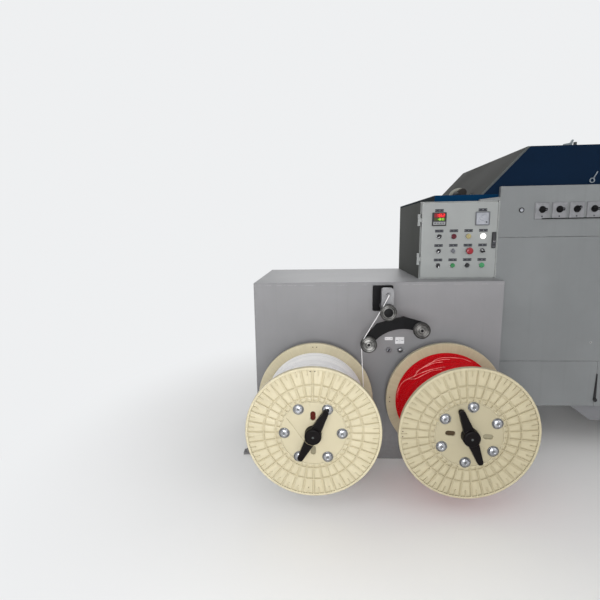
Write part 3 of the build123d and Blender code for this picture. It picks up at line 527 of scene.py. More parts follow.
# the backdrop where the camera, a reflection or glass looks, otherwise the fill light
sky = Finish("studio", bpy.data.worlds)
looked = sky.node("ShaderNodeLightPath", {}, {}, "Is Camera Ray")
for ray in ("Is Glossy Ray", "Is Transmission Ray"):
    looked = sky.math("MAXIMUM", looked, sky.node("ShaderNodeLightPath", {}, {}, ray))
glow = sky.mix(looked, room["fill"], room["backdrop"])
back = sky.node("ShaderNodeBackground", {}, {"Color": glow, "Strength": 1.0})
sky.node("ShaderNodeOutputWorld", {}, {"Surface": back})
bpy.context.scene.world = sky.owner

lamps = {
    # place, aim, size, power
    "key": ((-2.4, -4.4, 4.2), (0.3, 0, 0.7), 3.2, 43),
    "front": ((-0.4, -3.3, 1.2), (0.2, 0, 0.6), 1.2, 66),
    "side": ((4.6, -3.6, 3.4), (0.8, 0, 0.8), 3.0, 30),
    "back": ((0.5, 5.0, 4.2), (0.6, 0.8, 1.0), 3.5, 80),
}
for name, (at, aim, size, power) in lamps.items():
    light = bpy.data.lights.new(name, "AREA")
    light.size = size
    light.energy = power
    holder = linked(name, light)
    holder.location = at
    holder.rotation_euler = (Vector(aim) - Vector(at)).to_track_quat("-Z", "Y").to_euler()
print("camera, floor and lamps placed")


# tools for the small pieces
def polar(reach, degrees):
    return reach * cos(radians(degrees)), reach * sin(radians(degrees))


def moved(centre, aside=0.0, out=0.0, up=0.0):
    # a place so much further right, nearer the viewer and higher
    return (centre[0] + aside, centre[1] - out, centre[2] + up)


def orbit(centre, reach, degrees):
    # a place at a reach and an angle from a centre, seen from the front
    aside, up = polar(reach, degrees)
    return moved(centre, aside, 0, up)


def circle(radius, steps=32, turn=0.0):
    angles = [2 * pi * k / steps + turn for k in range(steps)]
    return [(radius * cos(angle), radius * sin(angle)) for angle in angles]


def roundedBox(width, height, corner, steps=4):
    outline = []
    for signX, signZ, start in ((1, 1, 0), (-1, 1, 90), (-1, -1, 180), (1, -1, 270)):
        for k in range(steps + 1):
            angle = radians(start + 90 * k / steps)
            outline.append((
                signX * (width / 2 - corner) + corner * cos(angle),
                signZ * (height / 2 - corner) + corner * sin(angle)))
    return outline


def scaled(outline, wide, tall):
    return [(u * wide, v * tall) for u, v in outline]


def walls(levels, count):
    # quads that join each ring of vertices to the next
    faces = []
    for first in range(0, (levels - 1) * count, count):
        for k in range(count):
            a, b = first + k, first + (k + 1) % count
            faces.append((a, b, b + count, a + count))
    return faces


figureDepth = 0.0002


class Shape:
    # faces gathered into one mesh; u runs right, v up and w out towards the viewer, or straight up
    def __init__(self, upright=False):
        self.upright = upright
        self.points = []
        self.faces = []
        self.skins = []
        self.used = []

    def spot(self, centre, u, v, w, turn=0.0):
        c, s = cos(radians(turn)), sin(radians(turn))
        if self.upright:
            return (centre[0] + u * c - v * s, centre[1] + u * s + v * c, centre[2] + w)
        return (centre[0] + u * c - v * s, centre[1] - w, centre[2] + u * s + v * c)

    def add(self, points, faces, material):
        # the faces count from the first of these points
        if material not in self.used:
            self.used.append(material)
        first = len(self.points)
        self.points += points
        self.faces += [tuple(first + k for k in face) for face in faces]
        self.skins += [self.used.index(material)] * len(faces)

    def rings(self, centre, rings, material, turn=0.0, capEnd=True):
        # rings is a list of (outline, w)
        points = [self.spot(centre, u, v, w, turn) for outline, w in rings for u, v in outline]
        count = len(rings[0][0])
        faces = walls(len(rings), count)
        if capEnd:
            faces.append(range(len(points) - count, len(points)))
        self.add(points, faces, material)

    def tapered(self, centre, outline, levels, material, turn=0.0):
        # one outline, made narrower and lower as it stands out; levels is a list of (wide, tall, w)
        self.rings(centre, [(scaled(outline, wide, tall), w) for wide, tall, w in levels], material, turn)

    def lathe(self, centre, profile, material, steps=32, capEnd=True):
        self.rings(centre, [(circle(radius, steps), w) for radius, w in profile], material, 0.0, capEnd)

    def plate(self, centre, outline, low, high, material, turn=0.0, edge=0.0006):
        # flat piece with a small chamfer round its face
        inner = 1 - edge / max(max(abs(u), abs(v)) for u, v in outline)
        levels = [(1, 1, low), (1, 1, high - edge), (inner, inner, high)]
        self.tapered(centre, outline, levels, material, turn)

    def bar(self, centre, u, v, width, height, low, high, material, turn=0.0):
        # plain little bar, placed by its middle in the turned frame
        outline = roundedBox(width, height, min(width, height) * 0.2, 2)
        self.plate(self.spot(centre, u, v, 0, turn), outline, low, high, material, turn, 0.0002)

    def number(self, centre, text, height, material):
        # plain figures from Blender's own font
        words = bpy.data.curves.new("figures", "FONT")
        words.body = text
        words.size = height
        words.align_x = "CENTER"
        words.align_y = "CENTER"
        words.extrude = figureDepth / 2
        words.resolution_u = 3
        holder = linked("figures", words)
        bpy.context.view_layer.update()
        mesh = bpy.data.meshes.new_from_object(holder.evaluated_get(bpy.context.evaluated_depsgraph_get()))
        points = [self.spot(centre, v.co.x, v.co.y, v.co.z + figureDepth / 2) for v in mesh.vertices]
        self.add(points, [face.vertices for face in mesh.polygons], material)
        bpy.data.objects.remove(holder)
        bpy.data.meshes.remove(mesh)
        bpy.data.curves.remove(words)

    def tube(self, path, radius, material, sides):
        # rings of vertices round a path, closed at both ends
        points = []
        across = (path[1] - path[0]).normalized().orthogonal().normalized()
        for k, point in enumerate(path):
            along = (path[min(k + 1, len(path) - 1)] - path[max(k - 1, 0)]).normalized()
            across = (across - along * across.dot(along)).normalized()
            other = along.cross(across)
            points += [point + across * u + other * v for u, v in circle(radius, sides)]
        ends = [range(sides - 1, -1, -1), range(len(points) - sides, len(points))]
        self.add(points, walls(len(path), sides) + ends, material)

    def build(self, name, body, slot, replaced=(), smooth=35):
        mesh = bpy.data.meshes.new(name)
        mesh.from_pydata(self.points, [], self.faces)
        for material in self.used:
            mesh.materials.append(finishes[material])
        mesh.polygons.foreach_set("material_index", self.skins)
        mesh.update()
        mesh.polygons.foreach_set("use_smooth", [True] * len(self.faces))
        mesh.set_sharp_from_angle(angle=radians(smooth))
        piece = linked(name, mesh)
        if body:
            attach(piece, body)
        if replaced:
            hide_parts(*replaced)
        return piece


# control door
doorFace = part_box("control_door")[0].y
panel = {
    "columns": (0.3365, 0.4145, 0.492, 0.5695), "rows": (1.2285, 1.151, 1.073),
    # a number is a selector turned by so many degrees
    "kinds": ((40, "capDarkRed", "lensAmber", "lensLit"), (40, "guarded", "stop", -30),
              (90, "capGreen", "deviceBlack", "lensGreen")),
    "lamps": ("capDarkRed", "lensAmber", "lensLit", "lensGreen"),
    "bezel": (0.0142, 0.0122, 0.005), "lampRing": (0.015, 0.0138, 0.004), "stopAside": 0.003,
    "base": ((0.012, 0.001), (0.012, 0.006), (0.011, 0.0075)), "grip": (0.0245, 0.0095, 0.0038),
    "gripLevels": ((1, 1, 0.0065), (1, 1, 0.0125), (0.96, 0.7, 0.0175), (0.9, 0.5, 0.0186)),
    "gripMark": (-0.0062, 0, 0.0098, 0.0036, 0.0178, 0.019),
    "cap": (
        (0.012, 0.001), (0.012, 0.009), (0.0112, 0.0102), (0.0094, 0.0102), (0.006, 0.0096), (0.002, 0.0093)),
    "mushroom": (
        (0.0118, 0.001), (0.0118, 0.006), (0.0085, 0.008), (0.0085, 0.024), (0.0172, 0.0245),
        (0.0184, 0.0265), (0.0186, 0.029), (0.0174, 0.0325), (0.014, 0.0348), (0.009, 0.0358),
        (0.003, 0.036)),
    "diamond": 0.0134, "diamondLevels": ((1, 1, 0.001), (1, 1, 0.007), (0.86, 0.86, 0.0085)),
    "lens": (
        (0.0136, 0.001), (0.0136, 0.008), (0.0132, 0.009), (0.0125, 0.0101), (0.0108, 0.0101),
        (0.0101, 0.0112), (0.0084, 0.0112), (0.0077, 0.0123), (0.006, 0.0123), (0.0053, 0.0134),
        (0.0036, 0.0134), (0.0029, 0.0145), (0.001, 0.0146)),
    "label": (0.045, 0.0145, 0.0016), "labelThick": 0.0012, "labelRise": 0.03, "figure": 0.0085,
    "rivet": ((0.0014, 0), (0.0012, 0.0004), (0.0005, 0.0006)), "rivetAside": 0.019,
}
switches, presses, lampShapes, legends = Shape(), Shape(), Shape(), Shape()


def bezelRing(shape, centre, material, outer, inner, depth):
    # knurled nut round a panel device
    steps = 48
    knurl = [(u * 0.97, v * 0.97) if k % 2 else (u, v) for k, (u, v) in enumerate(circle(outer, steps))]
    shape.rings(centre, [
        (knurl, 0), (knurl, depth * 0.6), (circle(outer * 0.95, steps), depth), (circle(inner, steps), depth),
        (circle(inner, steps), depth * 0.3)], material, capEnd=False)


def legend(centre, text):
    # dark engraved plate with plain figures
    face = moved(centre, out=panel["labelThick"])
    legends.plate(centre, roundedBox(*panel["label"]), 0, panel["labelThick"], "labelDark", edge=0.0004)
    legends.number(face, text, panel["figure"], "labelMark")
    for side in (-1, 1):
        legends.lathe(moved(face, side * panel["rivetAside"]), panel["rivet"], "labelMark", 10)


deviceNumber = 0
for rowZ, row in zip(panel["rows"], panel["kinds"]):
    for columnX, kind in zip(panel["columns"], row):
        deviceNumber += 1
        centre = (columnX, doorFace, rowZ)
        legend(moved(centre, up=panel["labelRise"]), str(deviceNumber))
        if kind in panel["lamps"]:
            # stepped lens in its ring; a lit lens makes the metal ring glow too, as painted glare
            shape = presses if kind == "capDarkRed" else lampShapes
            bezelRing(shape, centre, kind if kind == "lensLit" else "bezelSteel", *panel["lampRing"])
            shape.lathe(centre, panel["lens"], kind)
            continue
        if kind == "stop":
            centre = moved(centre, panel["stopAside"])
        shape = switches if isinstance(kind, int) else presses
        bezelRing(shape, centre, "bezelSteel", *panel["bezel"])
        if kind == "stop":
            shape.lathe(centre, panel["mushroom"], "capStopRed", 40)
        elif kind == "guarded":
            # small turned-square button
            shape.tapered(centre, circle(panel["diamond"], 4), panel["diamondLevels"], "deviceGrey")
        elif shape is presses:
            shape.lathe(centre, panel["cap"], kind)
        else:
            shape.lathe(centre, panel["base"], "deviceBlack")
            shape.tapered(centre, roundedBox(*panel["grip"]), panel["gripLevels"], "deviceBlack", kind)
            shape.bar(centre, *panel["gripMark"], "deviceWhite", kind)
print("control door devices made")


# temperature controller and ammeter
meters = {
    "gaugeX": 0.3335, "dialX": 0.561, "z": 1.321, "labelZ": 1.3665, "depth": 0.009,
    "frame": (0.074, 0.071, 0.003), "well": (0.066, 0.063, 0.002),
    "displays": (
        {"text": "182", "size": (0.0112, 0.015), "pitch": 0.0172, "rise": 0.0195, "digits": "digitRed",
         "pane": (0.058, 0.022, 0.0015), "window": "windowRed"},
        {"text": "180", "size": (0.0092, 0.0088), "pitch": 0.015, "rise": -0.0005, "digits": "digitGreen",
         "pane": (0.058, 0.0135, 0.0015), "window": "windowGreen"}),
    "keys": {"count": 4, "first": -0.0215, "pitch": 0.0143, "z": -0.0215},
    "arc": {"radius": 0.042, "start": 96, "sweep": 78, "marks": 20, "most": 40, "steps": 24}, "needle": 158,
    "boss": ((0.0036, 0), (0.0036, 0.0022), (0.0028, 0.0028), (0.001, 0.003)),
}
segments = {"0": "abcdef", "1": "bc", "2": "abged", "8": "abcdefg"}


def digits(shape, centre, look):
    # seven-bar figures
    width, height = look["size"]
    thick = width * 0.2
    bars = {
        "a": (0, height / 2, width, thick), "g": (0, 0, width, thick), "d": (0, -height / 2, width, thick),
        "f": (-width / 2, height / 4, thick, height / 2), "b": (width / 2, height / 4, thick, height / 2),
        "e": (-width / 2, -height / 4, thick, height / 2), "c": (width / 2, -height / 4, thick, height / 2)}
    for place, figure in enumerate(look["text"]):
        start = (place - (len(look["text"]) - 1) / 2) * look["pitch"]
        for name in segments[figure]:
            u, v, wide, tall = bars[name]
            shape.bar(centre, start + u, v, wide * 0.9, tall * 0.86, 0, 0.0006, look["digits"])


def frameRing(shape, centre, material, floorDepth):
    # square bezel with a sunk face
    depth = meters["depth"]
    outline = roundedBox(*meters["frame"])
    well = roundedBox(*meters["well"])
    shape.rings(centre, [
        (outline, 0), (outline, depth - 0.0015), (scaled(outline, 0.97, 0.97), depth), (well, depth),
        (well, floorDepth)], material)


gauge = Shape()
face = (meters["gaugeX"], doorFace, meters["z"])
frameRing(gauge, face, "deviceBlack", 0.007)
for look in meters["displays"]:
    gauge.plate(moved(face, 0.002, 0.007, look["rise"]), roundedBox(*look["pane"]), 0, 0.0004, look["window"])
for look in meters["displays"]:
    digits(gauge, moved(face, 0.004, 0.0074, look["rise"]), look)
keys = meters["keys"]
gauge.plate(moved(face, 0, 0.007, keys["z"]), roundedBox(0.064, 0.0165, 0.001), 0, 0.0012, "plateGrey")
for k in range(keys["count"]):
    at = moved(face, keys["first"] + keys["pitch"] * k, 0.0082, keys["z"])
    gauge.plate(at, roundedBox(0.0095, 0.0075, 0.0015), 0, 0.001, "deviceGrey")
gauge.build("temperatureGauge", "door", "black_plastic", ["temperature_controller"])

dial = Shape()
face = (meters["dialX"], doorFace, meters["z"])
frameRing(dial, face, "deviceGrey", 0.0045)
dial.plate(moved(face, out=0.0045), roundedBox(0.0655, 0.0625, 0.002), 0, 0.0006, "dialWhite")
pivot = moved(face, 0.021, 0.0052, -0.019)
arc = meters["arc"]
for k in range(arc["marks"] + 1):
    angle = arc["start"] + arc["sweep"] * k / arc["marks"]
    major = k % 5 == 0
    reach = arc["radius"] + (0.002 if major else 0.001)
    dial.bar(pivot, reach, 0, 0.004 if major else 0.0022, 0.0004, 0, 0.0002, "deviceGrey", angle)
    if major:
        text = str(round(arc["most"] - arc["most"] * k / arc["marks"]))
        dial.number(orbit(pivot, reach - 0.0068, angle), text, 0.0046, "deviceGrey")
line = [polar(arc["radius"], arc["start"] + arc["sweep"] * k / arc["steps"]) for k in range(arc["steps"] + 1)]
line += scaled(line, 0.99, 0.99)[::-1]
dial.rings(pivot, [(line, 0), (line, 0.0002)], "deviceGrey")
dial.bar(pivot, 0.0185, 0, 0.038, 0.0006, 0.0004, 0.0009, "deviceBlack", meters["needle"])
dial.lathe(pivot, meters["boss"], "deviceBlack", 24)
dial.build("ammeterDial", "door", "meter_face", ["ammeter"])

for meterX in (meters["gaugeX"], meters["dialX"]):
    deviceNumber += 1
    legend((meterX, doorFace, meters["labelZ"]), str(deviceNumber))
switches.build("selectorSwitches", "door", "panel_devices", ["selector_switches"])
presses.build("pushButtons", "door", "panel_devices", ["push_buttons"])
lampShapes.build("signalLamps", "door", "panel_devices", ["signal_lamps"])
legends.build("doorLegends", "door", "panel_devices")

latchLook = {
    "x": 0.6262, "z": 1.206, "base": (0.0215, 0.086, 0.004), "depth": 0.0065, "edge": 0.0012,
    "lever": (0.015, 0.043, 0.004), "leverRise": 0.0175,
    "leverLevels": ((1, 1, 0.0055), (1, 1, 0.0105), (0.86, 0.94, 0.0128), (0.5, 0.8, 0.0134)),
    "lock": ((0.0066, 0.0055), (0.0066, 0.0088), (0.0056, 0.0098), (0.003, 0.01)),
    "lockAt": (0.0016, 0, -0.0035),
    "slot": (0, 0, 0.0014, 0.0052, 0.0099, 0.0102), "slotTurn": 30,
    "ribs": ("deviceGrey", "latchBlack", "latchBlack", "deviceGrey", "latchBlack"),
    "ribStart": -0.0155, "ribPitch": 0.0056, "rib": (0.014, 0.0026, 0.006, 0.0082),
}
latch = Shape()
latchAt = (latchLook["x"], doorFace, latchLook["z"])
base = roundedBox(*latchLook["base"])
latch.plate(latchAt, base, 0, latchLook["depth"], "latchBlack", edge=latchLook["edge"])
leverAt = moved(latchAt, up=latchLook["leverRise"])
latch.tapered(leverAt, roundedBox(*latchLook["lever"]), latchLook["leverLevels"], "latchBlack")
lockAt = moved(latchAt, *latchLook["lockAt"])
latch.lathe(lockAt, latchLook["lock"], "bezelSteel", 28)
latch.bar(lockAt, *latchLook["slot"], "knobBlack", latchLook["slotTurn"])
for k, finish in enumerate(latchLook["ribs"]):
    # finger ribs below the cylinder
    latch.bar(latchAt, 0, latchLook["ribStart"] - latchLook["ribPitch"] * k, *latchLook["rib"], finish)
latch.build("doorLatch", "door", "black_plastic", ["door_latch"])

# sealing strips round the door, on the rim of the control box
rimLow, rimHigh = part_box("control_box")
doorLow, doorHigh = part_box("control_door")
sealLook = {"gap": 0.0014, "back": 0.0012, "corner": 0.0006, "lap": 0.001, "aside": 0.004, "short": 0.02}
seal = Shape()
gap = sealLook["gap"]
beside = rimHigh.x - doorHigh.x - gap + sealLook["lap"]
below, over = doorLow.z - rimLow.z - gap, rimHigh.z - doorHigh.z - gap
middleX = (doorLow.x + doorHigh.x) / 2 + sealLook["aside"]
wide = doorHigh.x - doorLow.x - sealLook["short"]
strips = (
    (doorHigh.x + gap + beside / 2, (rimLow.z + rimHigh.z) / 2, beside, rimHigh.z - rimLow.z),
    (middleX, rimLow.z + below / 2, wide, below), (middleX, rimHigh.z - over / 2, wide, over))
for x, z, width, height in strips:
    outline = roundedBox(width, height, sealLook["corner"], 2)
    seal.plate((x, rimLow.y, z), outline, 0, rimLow.y - doorLow.y - sealLook["back"], "doorPaint")
seal.build("doorSeal", "machine", "panel_devices")
print("meters made")


# inside the control box: mounting plate with ducts, breakers, contactors and terminals
insideLook = {
    "floor": 0.2195, "plate": (0.32, 0.325, 0.004), "thick": 0.003, "edge": 0.0008,
    "ducts": (0.14, 0.016, -0.104), "duct": (0.3, 0.026, 0.045), "slots": 24, "slotPitch": 0.0124,
    "rails": (0.078, -0.044), "rail": (0.29, 0.033, 0.0075),
    "terminals": {"first": -0.132, "pitch": 0.0066, "count": 41, "size": (0.0062, 0.04, 0.038), "v": -0.146},
}
boxLow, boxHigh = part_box("control_box")
plateAt = ((boxLow.x + boxHigh.x) / 2, boxLow.y + insideLook["floor"], (boxLow.z + boxHigh.z) / 2)
inside = Shape()


def block(u, v, size, material, start=0.0, corner=0.0012):
    # square-edged housing on the mounting plate
    width, height, depth = size
    outline = roundedBox(width, height, corner, 2)
    at = moved(plateAt, u, insideLook["thick"], v)
    inside.plate(at, outline, start, depth, material, 0.0, insideLook["edge"])


inside.plate(plateAt, roundedBox(*insideLook["plate"]), 0, insideLook["thick"], "fittingSteel")
width, height, depth = insideLook["duct"]
slot = roundedBox(0.0045, 0.0008, 0.0003, 2)
for v in insideLook["ducts"]:
    block(0, v, insideLook["duct"], "plateGrey")
    for k in range(insideLook["slots"]):
        # slots along both sides of the duct
        for side in (-1, 1):
            u = (k - (insideLook["slots"] - 1) / 2) * insideLook["slotPitch"]
            at = moved(plateAt, u, insideLook["thick"], v + side * height / 2)
            inside.plate(at, slot, 0.008, depth - 0.008, "labelDark", 0.0, 0.0002)
for v in insideLook["rails"]:
    block(0, v, insideLook["rail"], "boltSteel")
upperRail, lowerRail = insideLook["rails"]
screws = [(0.011 * j - 0.0165, side * 0.028, (0.0078, 0.0078, 0.069), "boltSteel", 0.066)
          for j in range(4) for side in (-1, 1)]
deviceRows = (
    # first place, pitch, how many, rail, then the blocks of one: aside, up, size, finish, where it starts
    (-0.134, 0.0181, 8, upperRail, (
        (0, 0, (0.0176, 0.08, 0.044), "deviceWhite", 0.006),
        (0, 0, (0.0172, 0.044, 0.062), "deviceWhite", 0.04),
        (0, 0.004, (0.011, 0.01, 0.07), "deviceBlack", 0.06),
        (0, -0.03, (0.0075, 0.0075, 0.0448), "labelDark", 0.043),
        (0, 0.031, (0.0075, 0.0075, 0.0448), "labelDark", 0.043))),
    (0.08, 0, 1, upperRail, ((0, 0, (0.082, 0.088, 0.07), "fittingSteel", 0.006),)),
    (0.052, 0.007, 9, upperRail, ((0, 0.014, (0.0028, 0.036, 0.0706), "labelDark", 0.069),)),
    (0.056, 0.012, 5, upperRail, ((0, -0.03, (0.0095, 0.012, 0.074), "deviceGrey", 0.066),)),
    (-0.112, 0.054, 3, lowerRail, (
        (0, 0, (0.045, 0.074, 0.068), "deviceGrey", 0.006),
        (0, 0, (0.041, 0.034, 0.08), "deviceBlack", 0.064),
        (0, 0, (0.016, 0.01, 0.082), "deviceWhite", 0.078), *screws)),
    (0.044, 0.0245, 4, lowerRail, (
        (0, 0, (0.0225, 0.064, 0.06), "plateGrey", 0.006),
        (0, 0.01, (0.019, 0.03, 0.068), "deviceBlack", 0.058),
        (0, -0.018, (0.005, 0.005, 0.0612), "digitGreen", 0.059))),
)
for first, pitch, count, rail, blocks in deviceRows:
    for k in range(count):
        for aside, up, size, finish, start in blocks:
            block(first + pitch * k + aside, rail + up, size, finish, start)
row = insideLook["terminals"]
for k in range(row["count"]):
    u = row["first"] + row["pitch"] * k
    block(u, row["v"], row["size"], "plateGrey" if k % 10 else "deviceBlack", 0.0, 0.0004)
    for side in (-1, 1):
        block(u, row["v"] + side * 0.011, (0.0034, 0.0034, 0.0386), "boltSteel", 0.037)
inside.build("boxInside", "machine", "panel_devices")

# backs of the devices on the door
backLook = {
    "contact": (0.03, 0.042, 0.002), "contactDepth": 0.03, "collar": 0.0115, "reach": 0.012, "screw": 0.0034,
    "gauge": (0.066, 0.063, 0.003), "gaugeDepth": 0.072, "dial": 0.03, "dialDepth": 0.034,
}
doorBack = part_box("control_door")[1].y
backs = Shape()


def rearward(centre, outline, start, depth, material):
    # a housing that stands off the door's inner face
    levels = [(1, 1, -start), (1, 1, 0.001 - depth), (0.95, 0.95, -depth)]
    backs.tapered(centre, outline[::-1], levels, material)


reach = backLook["reach"]
depth = reach + backLook["contactDepth"]
for rowZ in panel["rows"]:
    for columnX in panel["columns"]:
        centre = (columnX, doorBack, rowZ)
        rearward(centre, circle(backLook["collar"], 24), 0, reach, "deviceBlack")
        rearward(centre, roundedBox(*backLook["contact"]), reach, depth, "deviceGrey")
        for side in (-1, 1):
            for level in (-1, 1):
                screw = moved(centre, side * 0.009, 0, level * 0.015)
                rearward(screw, circle(backLook["screw"], 12), depth - 0.001, depth + 0.0012, "boltSteel")
centre = (meters["gaugeX"], doorBack, meters["z"])
depth = backLook["gaugeDepth"]
rearward(centre, roundedBox(*backLook["gauge"]), 0, depth, "deviceBlack")
for k in range(6):
    screw = moved(centre, 0.009 * k - 0.0225, 0, -0.018)
    rearward(screw, circle(0.003, 12), depth - 0.001, depth + 0.0015, "boltSteel")
centre = (meters["dialX"], doorBack, meters["z"])
depth = backLook["dialDepth"]
rearward(centre, circle(backLook["dial"], 40), 0, depth, "deviceBlack")
for side in (-1, 1):
    stud = moved(centre, side * 0.013)
    rearward(stud, circle(0.0055, 6), depth - 0.001, depth + 0.004, "boltSteel")
    rearward(stud, circle(0.0026, 12), depth, depth + 0.012, "boltSteel")
backs.build("deviceBacks", "door", "panel_devices")
print("control box fitted out")


# switches on the oven front
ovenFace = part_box("oven_front_upper")[0].y
ovenRow = {
    "first": 0.866, "pitch": 0.0883, "z": 1.356, "turns": (0, 0, 45, 0, 0, 90),
    "plate": (0.074, 0.085, 0.003), "inlay": (0.92535, 0.9353), "sunk": 0.0058, "knob": (0, 0.0064, 0.006),
    "plateLevels": (
        (1, 1, 0), (1, 1, 0.006), (0.985, 0.985, 0.007), (0.93, 0.94, 0.007), (0.93, 0.94, 0.0058)),
    "collar": ((0.0178, 0), (0.0178, 0.0016), (0.0163, 0.0022), (0.015, 0.0078), (0.0138, 0.0086)),
    "grip": (0.036, 0.015, 0.004),
    "gripLevels": ((1, 1, 0.008), (1, 1, 0.0165), (0.95, 0.74, 0.0215), (0.85, 0.45, 0.0226)),
    "mark": (0.01, 0, 0.009, 0.0015, 0.0222, 0.0229), "figures": (("0", 90), ("1", 45), ("2", 0)),
    "figureReach": 0.0235, "figure": 0.0058, "foot": (0, 0.0064, -0.03),
    "footBar": (0, 0, 0.007, 0.008, 0, 0.0006),
    "shadowStrip": {"height": 0.005, "thick": 0.0082, "rise": 0.0012},
}
ovenSwitches = Shape()
outer = roundedBox(*ovenRow["plate"])
for k, turn in enumerate(ovenRow["turns"]):
    centre = (ovenRow["first"] + ovenRow["pitch"] * k, ovenFace, ovenRow["z"])
    knob = moved(centre, *ovenRow["knob"])
    ovenSwitches.tapered(centre, outer, ovenRow["plateLevels"], "switchGrey")
    inlay = scaled(outer, *ovenRow["inlay"])
    ovenSwitches.plate(moved(centre, out=ovenRow["sunk"]), inlay, 0, 0.0006, "switchGrey")
    ovenSwitches.lathe(knob, ovenRow["collar"], "knobBlack", 40)
    ovenSwitches.tapered(knob, roundedBox(*ovenRow["grip"]), ovenRow["gripLevels"], "knobBlack", turn)
    ovenSwitches.bar(knob, *ovenRow["mark"], "labelMark", turn)
    for figure, angle in ovenRow["figures"]:
        at = orbit(knob, ovenRow["figureReach"], angle)
        ovenSwitches.number(at, figure, ovenRow["figure"], "deviceGrey")
    ovenSwitches.bar(moved(centre, *ovenRow["foot"]), *ovenRow["footBar"], "labelDark")
# dark strip along the foot of the row, a black piece standing in for the shadow under the plates: painted
# shadow
shadowStrip = ovenRow["shadowStrip"]
wide, tall, _ = ovenRow["plate"]
reach = ovenRow["pitch"] * (len(ovenRow["turns"]) - 1) + wide / 2
foot = (ovenRow["first"] + reach / 2, ovenFace, ovenRow["z"] - tall / 2 + shadowStrip["rise"])
ovenSwitches.plate(foot, roundedBox(reach, shadowStrip["height"], 0.001, 2), 0, shadowStrip["thick"], "knobBlack")
ovenSwitches.build("ovenSwitches", "machine", "panel_devices", ["rotary_switches"])

catch = {
    "lockX": (0.761, 1.934), "lockZ": 1.361,
    "lockRing": ((0.0135, 0), (0.0135, 0.0035), (0.0122, 0.005), (0.0088, 0.005), (0.0085, 0.0038)),
    "lockFace": ((0.0087, 0.003), (0.0085, 0.0042), (0.0078, 0.0046)),
    "lockSlot": (0, 0, 0.0016, 0.008, 0.0046, 0.0048),
    "lever": (1.2355, 0.306), "length": 0.15, "wide": 0.007, "narrow": 0.002,
    "levels": ((1, 1, 0), (1, 1, 0.0058), (0.7, 1, 0.007)),
    "knob": ((0.009, 0.006), (0.01, 0.009), (0.011, 0.011), (0.009, 0.015), (0.003, 0.016)),
    "keyhole": (1.185, 0.639), "keyRing": ((0.0058, 0), (0.0055, 0.0012), (0.0038, 0.0012), (0.0036, 0.0004)),
    "keyFace": ((0.0037, 0.0002), (0.002, 0.0005)),
}
locks = Shape()
for lockX in catch["lockX"]:
    centre = (lockX, ovenFace, catch["lockZ"])
    locks.lathe(centre, catch["lockRing"], "deviceBlack", 36, False)
    locks.lathe(centre, catch["lockFace"], "dialWhite", 36)
    locks.bar(centre, *catch["lockSlot"], "deviceBlack")
lever = [polar(catch["wide"], 180 + 180 * k / 12) for k in range(13)]
for k in range(9):
    u, v = polar(catch["narrow"], 180 * k / 8)
    lever.append((u, catch["length"] + v))
centre = (catch["lever"][0], ovenFace, catch["lever"][1])
locks.tapered(centre, lever, catch["levels"], "deviceBlack")
locks.lathe(centre, catch["knob"], "deviceBlack")
keyhole = (catch["keyhole"][0], ovenFace, catch["keyhole"][1])
locks.lathe(keyhole, catch["keyRing"], "hingeSteel", 28, False)
locks.lathe(keyhole, catch["keyFace"], "deviceBlack", 20)
locks.build("ovenLocks", "machine", "small_metal", ["oven_locks"])
print("oven front made")


# jog buttons with their labels on the cabinet
jogLook = {
    "z": 0.633, "ring": (0.0155, 0.0098, 0.007), "keyX": 0.059, "keyTurn": 65, "domeX": 0.12,
    "key": ((0.0096, 0.001), (0.0096, 0.0085), (0.0088, 0.0095), (0.003, 0.0097)),
    "keyBar": (0, 0, 0.017, 0.0046, 0.0095, 0.0125), "window": (0, 0.0044, 0.0052, 0.0094, 0.0104),
    "dome": ((0.0096, 0.001), (0.0096, 0.0085), (0.0086, 0.0108), (0.006, 0.0122), (0.002, 0.0128)),
    "labels": (((0.059, 0, 0.696), 0.042, 0.017, "1", 0.01), ((0.117, 0, 0.6855), 0.047, 0.037, "2", 0.013)),
    "labelThick": 0.0012,
}
jog = Shape()
# key switch with a short bar across
key = (jogLook["keyX"], 0, jogLook["z"])
bezelRing(jog, key, "ringSteel", *jogLook["ring"])
jog.lathe(key, jogLook["key"], "deviceGrey")
jog.bar(key, *jogLook["keyBar"], "knobBlack", jogLook["keyTurn"])
# two pale marks at the ends of the key's bar: painted highlights
for aside in (-0.007, 0.007):
    jog.bar(key, aside, *jogLook["window"], "dialWhite")
dome = (jogLook["domeX"], 0, jogLook["z"])
bezelRing(jog, dome, "ringSteel", *jogLook["ring"])
jog.lathe(dome, jogLook["dome"], "bezelSteel")
for at, width, height, text, figure in jogLook["labels"]:
    face = moved(at, out=jogLook["labelThick"])
    jog.plate(at, roundedBox(width, height, 0.002), 0, jogLook["labelThick"], "labelPale")
    jog.number(face, text, figure, "labelMark")
    for side in (-1, 1):
        jog.bar(face, side * width * 0.29, 0, width * 0.26, height * 0.12, 0, 0.0002, "labelMark")
jog.build("jogButtons", "machine", "panel_devices", ["jog_buttons"])

lump = {"at": (0.5514, 0.3), "radius": 0.011,
        "levels": ((1, 1, 0), (1, 1, 0.01), (0.72, 0.72, 0.012), (0.6, 0.6, 0.02))}
plug = Shape(upright=True)
lumpAt = (*lump["at"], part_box("hood_base")[1].z)
plug.tapered(lumpAt, circle(lump["radius"], 6), lump["levels"], "bearingIron")
plug.build("hoodPlug", "machine", "small_metal")

